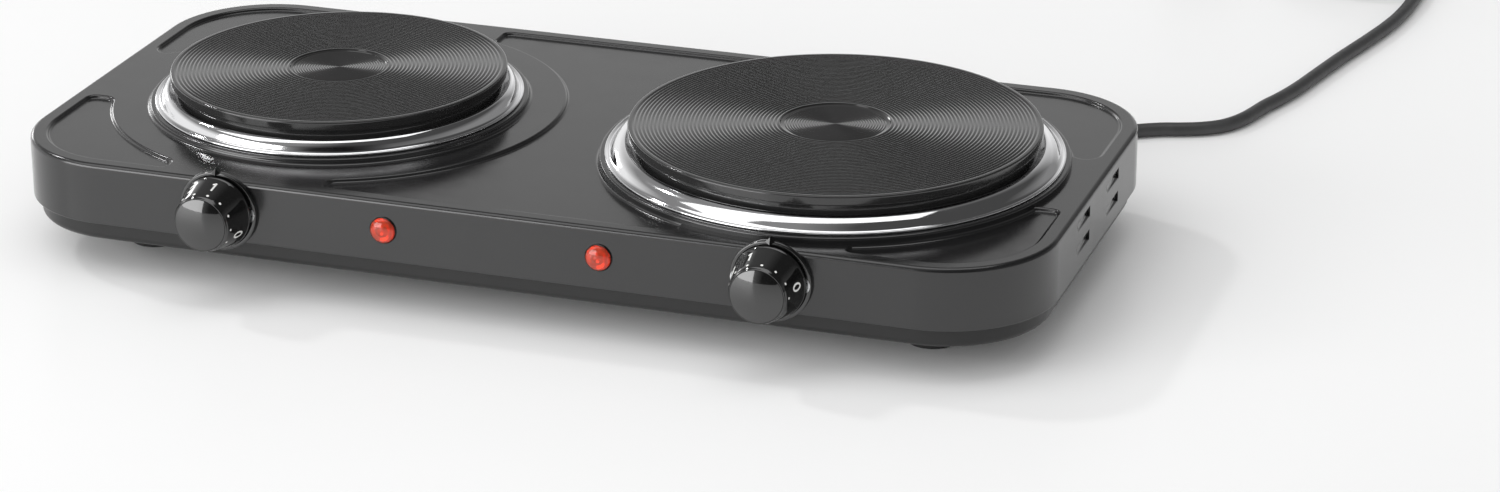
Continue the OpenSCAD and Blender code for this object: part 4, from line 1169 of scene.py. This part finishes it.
class HOTPLATE_OT_stage(Operator):
    """Lay the table and set up the light"""

    bl_idname = "hot_plate.stage"
    bl_label = "Stage"

    def execute(self, context):
        studio = context.scene.hot_plate_studio
        context.scene.view_settings.view_transform = "Standard"
        self.table(studio)
        self.room(context, studio)
        self.lamp("key", "SUN", studio.key, KEY_AT, angle=math.radians(5))
        for name, power, at, (wide, deep) in SOFTBOXES:
            self.lamp(name, "AREA", studio.softboxes * power, at, shape="RECTANGLE", size=wide,
                      size_y=deep)
        return {"FINISHED"}

    def table(self, studio):
        around = [Vector((x, y, 0)) * TABLE_REACH for x, y in ((-1, -1), (1, -1), (1, 1), (-1, 1))]
        top = finish("table_top", studio.table, 0.32, 0.006, 0.03, 4, 300, 2e-6, IOR=1.2)
        show("table", mesh_of("table", around, [(0, 1, 2, 3)]), top)

    def room(self, context, studio):
        """Soft light from all round; gloss and metal see pale walls and a dark doorway."""
        world = bpy.data.worlds.new("room")
        context.scene.world = world
        world.use_nodes = True
        tree = world.node_tree
        facing = add_node(tree, "TexCoord").outputs["Generated"]

        def along(way, start, end, low, high):
            """A value that goes from low to high as the direction turns along a way."""
            dot = add_node(tree, "VectorMath", {0: facing, 1: way}, operation="DOT_PRODUCT")
            return add_node(tree, "MapRange", {
                "Value": dot.outputs["Value"], "From Min": start, "From Max": end, "To Min": low,
                "To Max": high}).outputs["Result"]

        def combined(operation, a, b):
            return add_node(tree, "Math", {0: a, 1: b}, operation=operation).outputs[0]

        level = along((0, -1, 0), 0.1, 0.8, studio.room, studio.room * 3.9)
        ceiling = along((0, 0, 1), 0.24, 0.50, 1.0, 0.26)
        dark_side = along((1, 0, 0), -0.08, 0.30, 1.0, 0.26)
        doorway = along((0.30, -0.95, 0.05), 0.72, 0.90, 1.0, 0.05)
        path = add_node(tree, "LightPath").outputs
        walls = combined("MULTIPLY", combined("MULTIPLY", ceiling, dark_side), doorway)
        walls = combined("MAXIMUM", walls, path["Is Camera Ray"])
        mirrored = combined("MAXIMUM", path["Is Camera Ray"], path["Is Glossy Ray"])
        mirrored = combined("MAXIMUM", mirrored, path["Is Transmission Ray"])
        light = tree.nodes["Background"]
        set_sockets(tree, light, {"Color": WHITE, "Strength": level})
        seen = add_node(tree, "Background", {"Color": WHITE, "Strength": walls})
        mix = add_node(tree, "MixShader", {0: mirrored, 1: light.outputs[0], 2: seen.outputs[0]})
        set_sockets(tree, tree.nodes["World Output"], {"Surface": mix.outputs[0]})

    def lamp(self, name, kind, power, at, **settings):
        """A lamp that faces the hot plate."""
        data = bpy.data.lights.new(name, kind)
        data.energy = power
        for setting, value in settings.items():
            setattr(data, setting, value)
        lamp = bpy.data.objects.new(name, data)
        lamp.location = at
        lamp.rotation_euler = Vector(at).to_track_quat("Z", "Y").to_euler()
        bpy.context.scene.collection.objects.link(lamp)


# ---------------------------------------------------------------- panel


PIECES = (HOTPLATE_OT_camera, HOTPLATE_OT_cord, HOTPLATE_OT_housing, HOTPLATE_OT_pan,
          HOTPLATE_OT_plates, HOTPLATE_OT_rings, HOTPLATE_OT_knobs, HOTPLATE_OT_lamps,
          HOTPLATE_OT_fittings, HOTPLATE_OT_stage)


class HOTPLATE_PT_panel(Panel):
    """Sizes, colours and the pieces to build"""

    bl_idname = "HOTPLATE_PT_panel"
    bl_label = "Hot Plate"
    bl_space_type = "VIEW_3D"
    bl_region_type = "UI"
    bl_category = "Hot Plate"

    def draw(self, context):
        for group_name in GROUPS:
            group = getattr(context.scene, group_name)
            box = self.layout.box()
            for name in group.__annotations__:
                box.prop(group, name)
        column = self.layout.column(align=True)
        for piece in PIECES:
            column.operator(piece.bl_idname)


GROUPS = {"hot_plate_sizes": HotPlateSizes, "hot_plate_colours": HotPlateColours,
          "hot_plate_studio": HotPlateStudio}


def register():
    for made in (*GROUPS.values(), *PIECES, HOTPLATE_PT_panel):
        bpy.utils.register_class(made)
    for name, group in GROUPS.items():
        setattr(bpy.types.Scene, name, PointerProperty(type=group))


def unregister():
    for name in GROUPS:
        delattr(bpy.types.Scene, name)
    for made in (HOTPLATE_PT_panel, *reversed(PIECES), *GROUPS.values()):
        bpy.utils.unregister_class(made)


def main():
    register()
    for piece in PIECES:
        area, name = piece.bl_idname.split(".")
        getattr(getattr(bpy.ops, area), name)()


if __name__ == "__main__":
    main()
